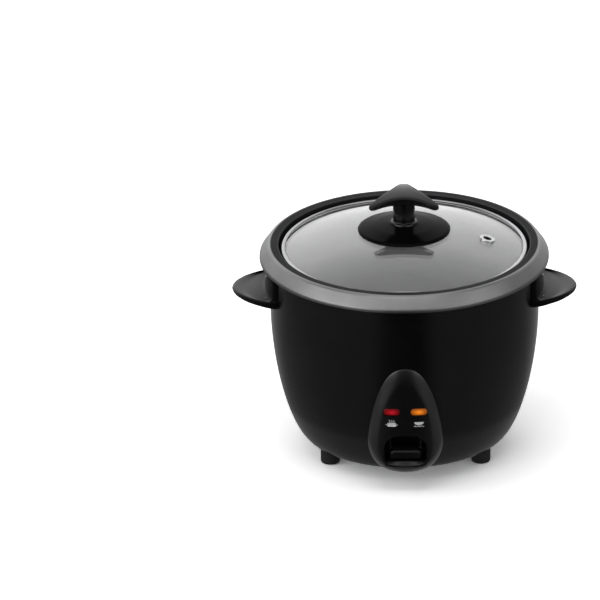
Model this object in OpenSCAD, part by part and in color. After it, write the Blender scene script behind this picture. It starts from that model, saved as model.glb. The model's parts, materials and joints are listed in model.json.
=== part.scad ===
// Drum-type rice cooker: a steel shell on four feet, a removable inner pot, a domed
// glass lid, and the magnetic cook/warm switch that works under the heating plate.
// X to the right, Y to the back, Z up. The origin is on the table, on the drum's axis.

/* [Shell] */
// Outer radius of the drum above its taper
body_r = 90; // [86:0.5:93]
// Radius of the drum at its bottom edge
base_r = 65; // [62:0.5:67]
// Height of the drum's bottom edge above the table
base_z = 10; // [9:0.5:10]
// Height at which the taper ends and the side becomes straight
taper_z = 100; // [96:1:106]
// Height of the shell's top edge
body_top = 144.6; // [143:0.1:144.6]
// Thickness of the shell's sheet
sheet = 0.8; // [0.6:0.1:1]

/* [Feet] */
// Diameter of one foot
foot_d = 13; // [11:0.5:15]
// Distance of the feet from the drum's axis along X
foot_x = 50.5; // [48:0.5:50.5]
// Distance of the feet from the drum's axis along Y
foot_y = 31.5; // [30:0.5:32.5]

/* [Pot] */
// Outer radius of the pot's wall
pot_r = 80; // [78:0.5:80]
// Height of the pot's underside
pot_z = 52; // [52:0.5:56]
// Thickness of the pot's wall
pot_wall = 1.2; // [1:0.1:1.2]
// Height of the flat crest of the pot's rim
crest_z = 146.3; // [146.3:0.1:147]
// Radius of the rim's outer edge
flange_r = 97; // [96:0.5:100]
// Height of the ledge that the lid sits on
ledge_z = 137.6; // [137.2:0.1:137.6]

/* [Lid] */
// Height of the glass dome's top
dome_z = 158; // [157.8:0.1:158.4]
// Radius of curvature of the glass
dome_r = 222; // [220:1:226]
// Thickness of the glass
glass_t = 3.5; // [3:0.1:3.5]
// Outer radius of the lid's steel rim
lid_r = 83; // [82.8:0.1:83.4]
// Distance of the steam vent from the lid's axis
vent_x = 56; // [45:1:60]
// Turn of the steam vent about the lid's axis, from the right
vent_turn = -7; // [-30:1:30]

/* [Knob] */
// Radius of the knob's base disc
knob_r = 31; // [26:0.5:33]
// Radius of the post under the grip
post_r = 7.4; // [6.5:0.1:8]
// Height of the grip's top
grip_z = 183.5; // [181:0.5:188]
// Thickness of the grip
grip_t = 4.2; // [3.2:0.1:4.6]
// Radius from the knob's axis to the centre of a grip tip
tip_reach = 23; // [22:0.5:25]
// Radius of a grip tip
tip_r = 3.5; // [3:0.1:4]
// Radius of the middle of each concave side of the grip
waist_r = 12.5; // [9:0.5:13]

/* [Handles] */
// Distance of a handle's tip from the drum's axis
handle_reach = 115.5; // [112:0.5:120]
// Half of a handle's width where it meets the drum
handle_half = 30; // [26:0.5:32]
// Height of a handle's underside
handle_z = 111; // [106:0.5:113]
// Thickness of a handle at its lip
handle_t = 4.5; // [4:0.1:5.5]
// Height of a handle's mounting plate
plate_h = 22; // [18:0.5:22]

/* [Control housing] */
// Half of the housing's greatest width
egg_half = 25.2; // [24:0.2:26]
// Height of the housing's lowest point
egg_low = 13; // [12:0.5:14]
// Height at which the housing is widest
egg_mid = 38; // [36:0.5:40]
// Height of the housing's top
egg_top = 92.6; // [88:0.2:95]
// Radius of the housing's front from the drum's axis
front_r = 91.6; // [91.6:0.1:93]
// Height of the lamps' centres
lamp_z = 62; // [61:0.5:63]
// Distance of each lamp's centre from the middle
lamp_x = 9.2; // [8.8:0.1:9.6]
// Length of a lamp's window
lamp_l = 11.6; // [10:0.2:12]
// Height of a lamp's window
lamp_h = 5.4; // [5:0.1:6]

/* [Switch] */
// Distance of the lever's pivot in front of the drum's axis
pivot_y = 32; // [31.5:0.1:32.5]
// Height of the lever's pivot
pivot_z = 30; // [29.9:0.1:30.1]
// Radius of the pivot pin
pin_r = 1.5; // [1.3:0.05:1.5]
// Half of the key's width
key_half = 10.4; // [9.5:0.1:10.4]
// Height of the key's underside
key_z = 27.8; // [27.6:0.1:27.9]
// Height of the key
key_h = 6; // [5.6:0.1:6]

/* [Heater] */
// Radius of the heating plate
plate_r = 67; // [64:0.5:68]
// Thickness of the heating plate
plate_t = 9; // [8:0.5:9]
// Radius of the thermostat's cap
cap_r = 18.5; // [17.5:0.1:18.5]

/* [Mains inlet] */
// Height of the inlet's centre
inlet_z = 26; // [25.5:0.1:26]
// Distance of the inlet's mouth from the drum's axis
inlet_y = 86; // [85:0.5:88]
// Width of the inlet's socket
socket_w = 24.2; // [24:0.1:25]
// Height of the inlet's socket
socket_h = 16.8; // [16.4:0.1:17.2]

/* [Hidden] */
$fn = 96;
far = 130;           // longer than anything that it cuts through
gap = 0.3;           // room between pieces that move apart
seat = 0.1;          // room between fixed pieces that only bear on a curve
taper_bend = 1.7;    // exponents of the drum's side curve
taper_round = 0.6;
profile_steps = 14;

// base plate and the screws through the feet
floor_z = base_z + sheet;
floor_t = 1;
floor_top = floor_z + floor_t;
floor_r = base_r - 3;
lip_r = base_r - 11;
screw_r = 1.5;
head_r = 2.9;
head_h = 1.8;
foot_screw_z = 5;
slot_w = 3;
slot_l = 22;
slot_pitch = 7;

// pot
pot_bend = 12;
step_r = 84.3;
crest_out = 91.2;
rim_drop = 8.4;
lip_h = 1.9;
pot_in = pot_r - pot_wall;
ledge_low = ledge_z - 1.1;

// lid
sphere_z = dome_z - dome_r;
glass_r = lid_r - 0.7;
rim_in = lid_r - 3.4;
bead_r = 1.7;
lid_bolt_r = 2.5;
lid_hole_r = 3.2;
washer_r = 8;
washer_t = 1.05;
vent_r = 2.7;
vent_shaft_r = 3.6;
vent_flange_r = 5.25;
vent_tilt = asin(vent_x / dome_r);

// knob: each concave side is an arc tangent to two tips
grip_r = 71.5;
grip_mid = grip_z - grip_r;
side_d = side_distance(tip_reach, tip_r, waist_r);
side_r = side_d - waist_r;
post_foot = dome_z + 3;
post_top = grip_z - grip_t - 0.45;
plug_r = 4.5;
plug_z = 168;

// handles
handle_root = 86;
wing_bow = 1.5;
wing_fall = 0.5;
lip_w = 3;
dish_z = handle_z + handle_t - 1.3;
handle_skin = 2.5;
cove_r = 6;
handle_bolt_y = 18;
handle_bolt_z = handle_z + 2.2;
handle_bolt_end = body_r + 3.3;

// control housing, and the drum's windows behind it
key_window_half = 12;
key_window_low = 24;
key_window_high = 44;
lamp_window_half = 18;
lamp_window_low = 53;
lamp_window_high = 70;
wall = 2.2;
bevel = 1.2;
recess_half = 13.7;
recess_low = 26;
recess_high = 44.2;
sleeve = 1.5;
boss_x = 16;
boss_z = 48;
boss_r = 3.2;
board_y = 82.3;
board_t = 1.2;
board_half = 16.5;
board_h = 11;
board_post_z = 3.7;
board_post_r = 1.6;
lens_back = 87.6;

// heating plate, shield and thermostat
plate_top = pot_z - gap;
plate_low = plate_top - plate_t;
plate_hole = cap_r + 1;
coil_path = 38;
coil_r = 3.2;
coil_z = plate_low + 1.3;
terminal_r = 1.5;
terminal_low = 33;
sleeve_r = 2.4;
sleeve_h = 2.6;
terminal_a = 60;
end_x = coil_path * cos(terminal_a - 4);
end_y = coil_path * sin(terminal_a - 4);
shield_z = 38.4;
shield_t = 0.8;
shield_top = shield_z + shield_t;
shield_r = 70;
shield_rim_r = 75;
shield_rim_z = 48;
fuse_r = 2;
fuse_l = 14;
fuse_x = 32;
fuse_y = 29;
fuse_z = shield_z - fuse_r - seat;
post_ring = 50;
post_angles = [90, 210, 330];
tube_r = 11;
tube_in = 10;
tube_low = 31.5;
guide_in = tube_r + 0.08;
guide_out = tube_r + 1.2;
guide_flange_r = 22;
guide_low = 34;
guide_top = 42;
cap_t = 1;
cap_low = 43;
ferrite_t = 4;
ferrite_low = plate_top - cap_t - ferrite_t;
magnet_t = 5;
magnet_r = 6.3;
magnet_low = ferrite_low - gap - magnet_t;
collar_z = 29.5;
rod_r = 2;
rod_low = 23.5;

// lever, in the pressed position
lever_t = 1.2;
lever_half = 7;
lever_low = 25.7;
lever_front = 29.4;
lever_end = 85;
key_wall = 1.2;
key_boss = 6;
fork_half = 2.8;
fork_y = 4;
ear_t = 1.2;
cheek_x = 9.5;
bracket_back = 12;
switch_y = 18;
switch_half = 10;
switch_top = 21;
terminal_z = 14.5;
plunger_r = 1.2;
plunger_low = 16;

// mains inlet
socket_depth = 16;
inlet_wall = 2.4;
inlet_back = inlet_y - socket_depth - 4;
hood_half = 19;
hood_low = 12.5;
hood_high = 41;
blade_x = 7;
blade_t = 2;
blade_h = 4;
blade_l = 18;
earth_rise = 4;
inlet_screw_x = 16.8;
inlet_screw_seat = inlet_y - 1.6;
inlet_screw_tip = 72;
inlet_head_r = 2.1;

// ---- outlines ----

function arc(cx, cy, r, a0, a1, n = 8) =
    [for (i = [0:n]) let (a = a0 + (a1 - a0) * i / n) [cx + r * cos(a), cy + r * sin(a)]];

// Distance of a side arc's centre, for an arc tangent to the tips at both its ends
function side_distance(reach, tip, waist) =
    (reach * reach - pow(waist - tip, 2)) / (2 * (reach / 2 - waist + tip));

function body_radius(z) = z >= taper_z ? body_r :
    base_r + (body_r - base_r)
    * pow(1 - pow((taper_z - z) / (taper_z - base_z), taper_bend), taper_round);

function side_z(i) = base_z + (taper_z - base_z) * pow(i / profile_steps, 2);

// Point of the drum's side at height z, moved outwards by t along its normal
function side_point(z, t) =
    let (dz = 0.02, dr = body_radius(z + dz) - body_radius(z), n = norm([dr, dz]))
    [body_radius(z) + t * dz / n, z - t * dr / n];

function side(t) = [for (i = [0:profile_steps]) side_point(side_z(i), t)];

// Half-width of the control housing at height z, drawn in by t all round
function egg_width(z, t) = z < egg_mid
    ? (egg_half - t) * sqrt(max(0, 1 - pow((egg_mid - z) / (egg_mid - egg_low - t), 2)))
    : (egg_half - t) * pow(max(0, 1 - pow((z - egg_mid) / (egg_top - t - egg_mid), 1.4)), 0.42);

function egg(t, n = 22) =
    let (zs = [for (i = [0:n]) egg_low + t + (egg_top - egg_low - 2 * t) * (1 - cos(180 * i / n)) / 2])
    concat([for (i = [0:n]) [egg_width(zs[i], t), zs[i]]],
           [for (i = [n - 1:-1:1]) [-egg_width(zs[i], t), zs[i]]]);

// Outline of the key's recess: tight corners below, a thumb's arch above
function recess(t) = concat(
    arc(recess_half - 3.5, recess_low + 3.5, 3.5 + t, -90, 0, 5),
    arc(recess_half - 8, recess_high - 8, 8 + t, 0, 90, 8),
    arc(8 - recess_half, recess_high - 8, 8 + t, 90, 180, 8),
    arc(3.5 - recess_half, recess_low + 3.5, 3.5 + t, 180, 270, 5));

// Half-width of a handle at distance x from the drum's axis, drawn in by t
function handle_width(x, t) = let (reach = handle_reach - handle_root - t)
    (handle_half - t) * pow(max(0, 1 - pow((x - handle_root) / reach, wing_bow)), wing_fall);

function handle_plan(t, n = 18) =
    let (xs = [for (i = [0:n]) handle_root + (handle_reach - handle_root - t) * sin(90 * i / n)])
    concat([for (i = [0:n]) [xs[i], -handle_width(xs[i], t)]],
           [for (i = [n - 1:-1:0]) [xs[i], handle_width(xs[i], t)]]);

// ---- helpers ----

// Extrudes an outline drawn in X and Z from distance y0 to y1 in front of the axis
module forward(y0, y1) {
    translate([0, -y0, 0])
        rotate([90, 0, 0])
            linear_extrude(y1 - y0)
                children();
}

// Point at t from 0 to 1 on the smooth curve between p1 and p2, with p0 and p3 as their neighbours
function curve_point(p0, p1, p2, p3, t) =
    (2 * p1 + (p2 - p0) * t + (2 * p0 - 5 * p1 + 4 * p2 - p3) * t * t
     + (3 * p1 - p0 - 3 * p2 + p3) * t * t * t) / 2;

// A smooth route through a list of points, with n steps between each two
function route(p, n) = let (last = len(p) - 1)
    concat([for (i = [0:last - 1]) for (k = [0:n - 1])
        curve_point(p[max(i - 1, 0)], p[i], p[i + 1], p[min(i + 2, last)], k / n)], [p[last]]);

// A round wire of radius r swept along a route
module wire(path, r) {
    sides = 8;
    last = len(path) - 1;
    lean = [0.35, 0.55, 0.76];
    points = [for (i = [0:last]) for (j = [0:sides - 1])
        let (along = path[min(i + 1, last)] - path[max(i - 1, 0)],
             u = cross(along, lean) / norm(cross(along, lean)),
             v = cross(along, u) / norm(along),
             a = 360 * j / sides)
        path[i] + r * (u * cos(a) + v * sin(a))];
    tube(points, sides, last);
}

// Closed skin over rings of points, each ring with the same number of sides
module tube(points, sides, last) {
    skin = [for (i = [0:last - 1]) for (j = [0:sides - 1])
        let (k = (j + 1) % sides)
        [i * sides + j, (i + 1) * sides + j, (i + 1) * sides + k, i * sides + k]];
    ends = [[for (j = [0:sides - 1]) j], [for (j = [sides - 1:-1:0]) last * sides + j]];
    polyhedron(points, concat(skin, ends), convexity = 8);
}

// A compression spring from z0 to z1 about the Z axis
module spring(radius, wire_r, z0, z1, turns) {
    sides = 8;
    rings = ceil(turns * 14);
    climb = z1 - z0 - 2 * wire_r;
    points = [for (i = [0:rings]) for (j = [0:sides - 1])
        let (a = 360 * turns * i / rings, b = 360 * j / sides, r = radius + wire_r * cos(b))
        [r * cos(a), r * sin(a), z0 + wire_r + climb * i / rings + wire_r * sin(b)]];
    tube(points, sides, rings);
}

// The drum's outer form as a solid, grown by t
module drum(t) {
    rotate_extrude()
        polygon(concat([[0, base_z - t]], side(t), [[body_r + t, body_top + far], [0, body_top + far]]));
}

// The rounded bar of a lamp window, grown by t
module lamp_outline(t) {
    half = (lamp_l - lamp_h) / 2;
    translate([0, lamp_z]) {
        for (s = [-1, 1])
            translate([s * half, 0])
                circle(r = lamp_h / 2 + t);
        square([2 * half, lamp_h + 2 * t], center = true);
    }
}

// The turned solid that gives the control housing its front, drawn in by t
module housing_front(t) {
    turn_z = 26;
    chin_r = 80;
    rotate_extrude()
        polygon(concat(
            [[0, egg_low]],
            [for (i = [0:7]) let (a = 90 * i / 7)
                [chin_r - t + (front_r - chin_r) * sin(a), turn_z - (turn_z - egg_low) * cos(a)]],
            [[front_r - t, egg_top], [0, egg_top]]));
}

// ---- base ----

module outer_shell() {
    color("#1b1b1c")
    difference() {
        rotate_extrude()
            polygon(concat(
                [[lip_r, base_z]], side(0), [[body_r, body_top], [body_r - sheet, body_top]],
                [for (p = [profile_steps:-1:0]) side_point(side_z(p), -sheet)],
                [[lip_r, floor_z]]));
        // windows behind the control housing: lever below, lamps above
        shell_window(key_window_half, key_window_low, key_window_high);
        shell_window(lamp_window_half, lamp_window_low, lamp_window_high);
        inlet_block(socket_w + 2 * (inlet_wall + seat), socket_h + 2 * (inlet_wall + seat),
                    lip_r, far);
        for (sx = [-1, 1]) {
            translate([sx * boss_x, 0, boss_z])
                rotate([90, 0, 0])
                    cylinder(h = far, r = screw_r);
            translate([sx * inlet_screw_x, 0, inlet_z])
                rotate([-90, 0, 0])
                    cylinder(h = far, r = screw_r);
            for (sy = [-1, 1]) {
                translate([sx * foot_x, sy * foot_y, base_z - 1])
                    cylinder(h = 3, r = screw_r);
                translate([sx * (body_r - 10), sy * handle_bolt_y, handle_bolt_z])
                    rotate([0, sx * 90, 0])
                        cylinder(h = 20, r = screw_r);
            }
        }
    }
}

// A rectangular window through the drum's front, from height low to high
module shell_window(half, low, high) {
    translate([-half, -far, low])
        cube([2 * half, far - lip_r, high - low]);
}

module base_plate() {
    color("#8f9294")
    difference() {
        translate([0, 0, floor_z])
            cylinder(h = floor_t, r = floor_r);
        for (sx = [-1, 1])
            for (i = [0:4])
                translate([sx * 30 - slot_l / 2, slot_pitch * (i - 2) - slot_w / 2, floor_z - 1])
                    cube([slot_l, slot_w, 3]);
        for (sx = [-1, 1], sy = [-1, 1])
            translate([sx * foot_x, sy * foot_y, floor_z - 1])
                cylinder(h = 3, r = screw_r);
        for (a = post_angles)
            rotate(a)
                translate([post_ring, 0, floor_z - 1])
                    cylinder(h = 3, r = screw_r);
    }
}

module foot(sx, sy) {
    color("#161616")
    translate([sx * foot_x, sy * foot_y, 0])
        difference() {
            union() {
                cylinder(h = 1, r1 = foot_d / 2 - 0.7, r2 = foot_d / 2);
                translate([0, 0, 1])
                    cylinder(h = base_z - 1, r = foot_d / 2);
            }
            translate([0, 0, -1])
                cylinder(h = foot_screw_z + 1, r = 3.5);
            cylinder(h = base_z + 1, r = screw_r);
        }
}

module foot_screws() {
    color("#b9bbbd")
    for (sx = [-1, 1], sy = [-1, 1])
        translate([sx * foot_x, sy * foot_y, 0])
            difference() {
                union() {
                    translate([0, 0, foot_screw_z - head_h])
                        cylinder(h = head_h, r = head_r);
                    translate([0, 0, foot_screw_z])
                        cylinder(h = 8, r = screw_r);
                }
                cross_slot(foot_screw_z - head_h);
            }
}

// A cross recess cut upwards into a screw head whose face is at height z
module cross_slot(z) {
    for (a = [0, 90])
        rotate(a)
            translate([-1.7, -0.4, z - 1])
                cube([3.4, 0.8, 1.9]);
}

module handle(sx) {
    color("#1f1f20")
    mirror([sx < 0 ? 1 : 0, 0, 0])
        difference() {
            union() {
                // wing
                translate([0, 0, handle_z])
                    linear_extrude(handle_t)
                        polygon(handle_plan(0));
                // cove between the wing and its mounting plate
                intersection() {
                    rotate([0, 0, -30])
                        rotate_extrude(angle = 60)
                            polygon(concat(
                                [[body_r - 1, handle_z],
                                 [body_r + handle_skin + cove_r, handle_z]],
                                arc(body_r + handle_skin + cove_r, dish_z + cove_r, cove_r, 270, 180),
                                [[body_r - 1, dish_z + cove_r]]));
                    translate([0, 0, handle_z])
                        linear_extrude(30)
                            polygon(handle_plan(0));
                }
                // mounting plate that hugs the drum
                intersection() {
                    rotate([0, 0, -30])
                        rotate_extrude(angle = 60)
                            translate([body_r - 1, handle_z])
                                square([handle_skin + 1, plate_h]);
                    plate_outline();
                }
            }
            // dish inside the wing's raised lip
            difference() {
                translate([0, 0, dish_z])
                    linear_extrude(handle_t)
                        polygon(handle_plan(lip_w));
                translate([0, 0, dish_z - 1])
                    cylinder(h = handle_t + 2, r = body_r + handle_skin + cove_r);
            }
            cylinder(h = 2 * far, r = body_r + seat);
            for (sy = [-1, 1])
                translate([body_r - 2, sy * handle_bolt_y, handle_bolt_z])
                    rotate([0, 90, 0])
                        cylinder(h = handle_bolt_end + seat + 2 - body_r, r = screw_r);
        }
}

// A handle's mounting plate seen from outside: its upper corners are rounded
module plate_outline() {
    round_r = 6;
    rotate([90, 0, 90])
        linear_extrude(far)
            polygon(concat(
                [[-handle_half, handle_z], [handle_half, handle_z]],
                arc(handle_half - round_r, handle_z + plate_h - round_r, round_r, 0, 90, 6),
                arc(round_r - handle_half, handle_z + plate_h - round_r, round_r, 90, 180, 6)));
}

module handle_screws() {
    head_x = sqrt(pow(body_r - sheet, 2) - pow(handle_bolt_y + 3, 2)) - seat;
    color("#b9bbbd")
    for (sx = [-1, 1], sy = [-1, 1])
        mirror([sx < 0 ? 1 : 0, 0, 0])
            translate([0, sy * handle_bolt_y, handle_bolt_z])
                rotate([0, 90, 0]) {
                    translate([0, 0, head_x - head_h])
                        cylinder(h = head_h, r = head_r);
                    translate([0, 0, head_x])
                        cylinder(h = handle_bolt_end - head_x, r = screw_r);
                }
}

// ---- control housing ----

module control_housing() {
    color("#19191a")
    difference() {
        union() {
            difference() {
                union() {
                    intersection() {
                        forward(0, far) polygon(egg(0));
                        housing_front(bevel);
                    }
                    intersection() {
                        forward(0, far) polygon(egg(bevel));
                        housing_front(0);
                    }
                }
                intersection() {
                    forward(-1, far) polygon(egg(wall));
                    housing_front(wall);
                }
            }
            // sleeve round the key's recess
            intersection() {
                forward(40, far) polygon(recess(sleeve));
                housing_front(wall / 2);
            }
            // screw bosses and the lamp board's posts
            for (s = [-1, 1]) {
                translate([s * boss_x, -60, boss_z])
                    rotate([90, 0, 0])
                        cylinder(h = front_r - 3.5 - 60, r = boss_r);
                board_post(s, front_r - 2.5 - board_y);
            }
        }
        difference() {
            drum(seat);
            // the board's posts reach through the drum's lamp window
            for (s = [-1, 1])
                board_post(s, 9);
        }
        forward(40, far) polygon(recess(0));
        for (s = [-1, 1]) {
            forward(80, far) translate([s * lamp_x, 0]) lamp_outline(0);
            translate([s * boss_x, -60, boss_z])
                rotate([90, 0, 0])
                    cylinder(h = front_r - 5 - 60, r = screw_r);
        }
    }
}

// A post from the lamp board to the housing's front, above or below the lamps
module board_post(s, length) {
    translate([0, -board_y, lamp_z + s * board_post_z])
        rotate([90, 0, 0])
            cylinder(h = length, r = board_post_r);
}

module housing_screws() {
    head_y = 79.5;
    color("#b9bbbd")
    for (s = [-1, 1])
        translate([s * boss_x, 0, boss_z])
            rotate([90, 0, 0]) {
                translate([0, 0, head_y - head_h])
                    cylinder(h = head_h, r = head_r);
                translate([0, 0, head_y])
                    cylinder(h = front_r - 5.2 - head_y, r = screw_r);
            }
}

module lamp_lens(s, tint) {
    color(tint)
    difference() {
        union() {
            intersection() {
                forward(80, far) translate([s * lamp_x, 0]) lamp_outline(-0.05);
                cylinder(h = far, r = front_r + 0.4);
            }
            intersection() {
                forward(80, far) translate([s * lamp_x, 0]) lamp_outline(0.9);
                cylinder(h = far, r = front_r - wall);
            }
        }
        cylinder(h = far, r = lens_back);
    }
}

module neon_lamp(s) {
    bulb_r = 1.9;
    bulb_l = 7;
    pin_pitch = 5;
    bulb_y = lens_back - 1 - bulb_r;
    color("#e8b090")
    translate([s * lamp_x, -bulb_y, lamp_z]) {
        rotate([0, 90, 0])
            cylinder(h = bulb_l, r = bulb_r, center = true);
        for (e = [-1, 1])
            translate([e * pin_pitch / 2, 0, 0])
                rotate([-90, 0, 0])
                    cylinder(h = bulb_y - board_y, r = 0.4);
    }
}

module lamp_board() {
    color("#2f5d3a")
    translate([-board_half, -board_y, lamp_z - board_h / 2])
        cube([2 * board_half, board_t, board_h]);
}

// ---- heater ----

module heating_plate() {
    color("#b4b6b8")
    difference() {
        union() {
            rotate_extrude()
                polygon(concat(
                    [[plate_hole, plate_low], [plate_r - 2, plate_low]],
                    arc(plate_r - 4, plate_top - 4, 4, 0, 90, 6),
                    [[plate_hole, plate_top]]));
            for (a = post_angles)
                rotate(a)
                    translate([post_ring, 0, shield_top])
                        cylinder(h = plate_low - shield_top + 1, r = 5);
        }
        translate([0, 0, coil_z])
            element_ring();
        for (a = post_angles)
            rotate(a)
                translate([post_ring, 0, shield_top - 1])
                    cylinder(h = 8, r = screw_r);
    }
}

// The heating element's ring about the Z axis, open at the back
module element_ring() {
    rotate([0, 0, 180 - terminal_a])
        rotate_extrude(angle = 180 + 2 * terminal_a)
            translate([coil_path, 0])
                circle(r = coil_r, $fn = 48);
}

module heating_element() {
    color("#7c7f82") {
        translate([0, 0, coil_z])
            element_ring();
        for (s = [-1, 1])
            translate([s * end_x, end_y, 0]) {
                translate([0, 0, terminal_low])
                    cylinder(h = coil_z - coil_r - 0.6 - terminal_low, r = terminal_r);
                translate([0, 0, coil_z - 5])
                    cylinder(h = sleeve_h, r = sleeve_r);
            }
    }
}

module heat_shield() {
    color("#a9abad")
    difference() {
        rotate_extrude()
            polygon([[guide_out + seat, shield_z], [shield_r, shield_z],
                     [shield_rim_r, shield_rim_z], [shield_rim_r - shield_t, shield_rim_z],
                     [shield_r - shield_t, shield_top], [guide_out + seat, shield_top]]);
        for (s = [-1, 1])
            translate([s * end_x, end_y, shield_z - 1])
                cylinder(h = shield_t + 2, r = sleeve_r + 1.2);
        for (a = post_angles)
            rotate(a)
                translate([post_ring, 0, shield_z - 1])
                    cylinder(h = shield_t + 2, r = screw_r);
    }
}

module plate_posts() {
    color("#c4c6c8")
    for (a = post_angles)
        rotate(a)
            translate([post_ring, 0, floor_top])
                difference() {
                    cylinder(h = shield_z - floor_top, r = 4);
                    translate([0, 0, -1])
                        cylinder(h = 40, r = screw_r);
                }
}

module plate_screws() {
    color("#b9bbbd")
    for (a = post_angles)
        rotate(a)
            translate([post_ring, 0, 0])
                difference() {
                    union() {
                        translate([0, 0, floor_z - head_h])
                            cylinder(h = head_h, r = head_r);
                        translate([0, 0, floor_z])
                            cylinder(h = shield_top + 6.8 - floor_z, r = screw_r);
                    }
                    cross_slot(floor_z - head_h);
                }
}

module thermostat_guide() {
    color("#c9a24a")
    rotate_extrude()
        polygon([[guide_in, guide_low], [guide_out, guide_low], [guide_out, shield_z - 1],
                 [guide_flange_r, shield_z - 1], [guide_flange_r, shield_z], [guide_out, shield_z],
                 [guide_out, guide_top], [guide_in, guide_top]]);
}

module sensor_spring() {
    color("#d4d6d8")
    spring(14.2, 0.6, shield_top, plate_top - cap_t, 4);
}

module sensor_cap() {
    color("#d0d2d4")
    difference() {
        rotate_extrude()
            polygon(concat(
                [[0, cap_low], [cap_r, cap_low]],
                arc(cap_r - 1.5, plate_top - 1.5, 1.5, 0, 90, 4),
                [[0, plate_top]]));
        translate([0, 0, cap_low - 1])
            cylinder(h = plate_top - cap_t - cap_low + 1, r = cap_r - cap_t);
    }
}

module sensor_ferrite() {
    color("#3a3a3c")
    translate([0, 0, ferrite_low])
        cylinder(h = ferrite_t, r = tube_in - 0.2);
}

module sensor_tube() {
    color("#c9cbcd")
    translate([0, 0, tube_low])
        difference() {
            cylinder(h = plate_top - cap_t - tube_low, r = tube_r);
            translate([0, 0, -1])
                cylinder(h = far, r = tube_in);
        }
}

module magnet() {
    color("#4a4a4d")
    translate([0, 0, magnet_low])
        cylinder(h = magnet_t, r = magnet_r);
}

module magnet_rod() {
    color("#c4c6c8") {
        // carrier plate under the magnet
        translate([0, 0, magnet_low - 1])
            cylinder(h = 1, r = 9);
        translate([0, 0, rod_low])
            cylinder(h = magnet_low - 1 - rod_low, r = rod_r);
        translate([0, 0, collar_z])
            cylinder(h = 1.6, r = 5);
    }
}

module magnet_spring() {
    color("#d4d6d8")
    spring(7.8, 0.4, magnet_low, ferrite_low, 3);
}

// ---- switch ----

module switch_lever() {
    color("#b9bbbd")
    difference() {
        union() {
            translate([-lever_half, 0, 0])
                rotate([90, 0, 90])
                    linear_extrude(2 * lever_half)
                        polygon([[6, lever_low], [6, lever_low + lever_t],
                                 [-42, lever_low + lever_t], [-46, lever_front + lever_t],
                                 [-lever_end, lever_front + lever_t], [-lever_end, lever_front],
                                 [-45.2, lever_front], [-41.2, lever_low]]);
            for (x = [-lever_half - ear_t, lever_half])
                translate([x, -pivot_y, 0])
                    rotate([90, 0, 90])
                        linear_extrude(ear_t)
                            lever_ear();
        }
        translate([-20, -pivot_y, pivot_z])
            rotate([0, 90, 0])
                cylinder(h = 40, r = pin_r + 0.05);
        // fork round the magnet's rod
        translate([-fork_half, -fork_y, 0])
            cube([2 * fork_half, far, far]);
    }
}

module lever_ear() {
    ear_r = 3.6;
    translate([0, pivot_z])
        circle(r = ear_r);
    translate([-ear_r, lever_low])
        square([2 * ear_r, pivot_z - lever_low]);
}

module cook_key() {
    color("#202021")
    difference() {
        union() {
            intersection() {
                forward(lever_end - 0.4, far)
                    polygon(concat(
                        arc(key_half - 1, key_z + 1, 1, -90, 0, 3),
                        arc(key_half - 1, key_z + key_h - 1, 1, 0, 90, 3),
                        arc(1 - key_half, key_z + key_h - 1, 1, 90, 180, 3),
                        arc(1 - key_half, key_z + 1, 1, 180, 270, 3)));
                cylinder(h = far, r = front_r - 1);
            }
            // boss round the lever's end
            translate([-lever_half - key_wall, -lever_end, lever_front - key_wall])
                cube([2 * (lever_half + key_wall), key_boss, lever_t + 2 * key_wall]);
        }
        translate([-lever_half, -lever_end, lever_front])
            cube([2 * lever_half, 20, lever_t]);
    }
}

module switch_bracket() {
    color("#a9abad")
    difference() {
        union() {
            translate([-cheek_x - ear_t, -pivot_y - 6, floor_top])
                cube([2 * (cheek_x + ear_t), pivot_y + 6 - bracket_back, ear_t]);
            for (x = [-cheek_x - ear_t, cheek_x])
                translate([x, -pivot_y - 5, floor_top])
                    cube([ear_t, 10, pivot_z + 4 - floor_top]);
        }
        translate([-20, -pivot_y, pivot_z])
            rotate([0, 90, 0])
                cylinder(h = 40, r = pin_r);
    }
}

module pivot_pin() {
    color("#d0d2d4")
    translate([-cheek_x - 2.4, -pivot_y, pivot_z])
        rotate([0, 90, 0])
            cylinder(h = 2 * (cheek_x + 2.4), r = pin_r);
}

module microswitch() {
    color("#262a30")
    difference() {
        union() {
            translate([-switch_half, -switch_y - 4, floor_top + ear_t])
                cube([2 * switch_half, 8, switch_top - floor_top - ear_t]);
            // terminals
            for (s = [-1, 1])
                translate([s * (switch_half + 1.5) - 1.5, -switch_y - 2, terminal_z])
                    cube([3, 4, 0.8]);
        }
        translate([0, -switch_y, plunger_low - 2.4])
            cylinder(h = 20, r = plunger_r + 0.07);
    }
}

module switch_plunger() {
    color("#c23b32")
    translate([0, -switch_y, plunger_low])
        cylinder(h = lever_low - 0.6 - plunger_low, r = plunger_r);
}

module thermal_fuse() {
    color("#e4e2dc")
    translate([fuse_x, fuse_y, fuse_z])
        rotate([-90, 0, 0])
            cylinder(h = fuse_l, r = fuse_r);
}

// ---- mains inlet ----

// A block about the inlet's centre, w wide and h high, from y0 to y1
module inlet_block(w, h, y0, y1) {
    translate([-w / 2, y0, inlet_z - h / 2])
        cube([w, y1 - y0, h]);
}

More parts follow.
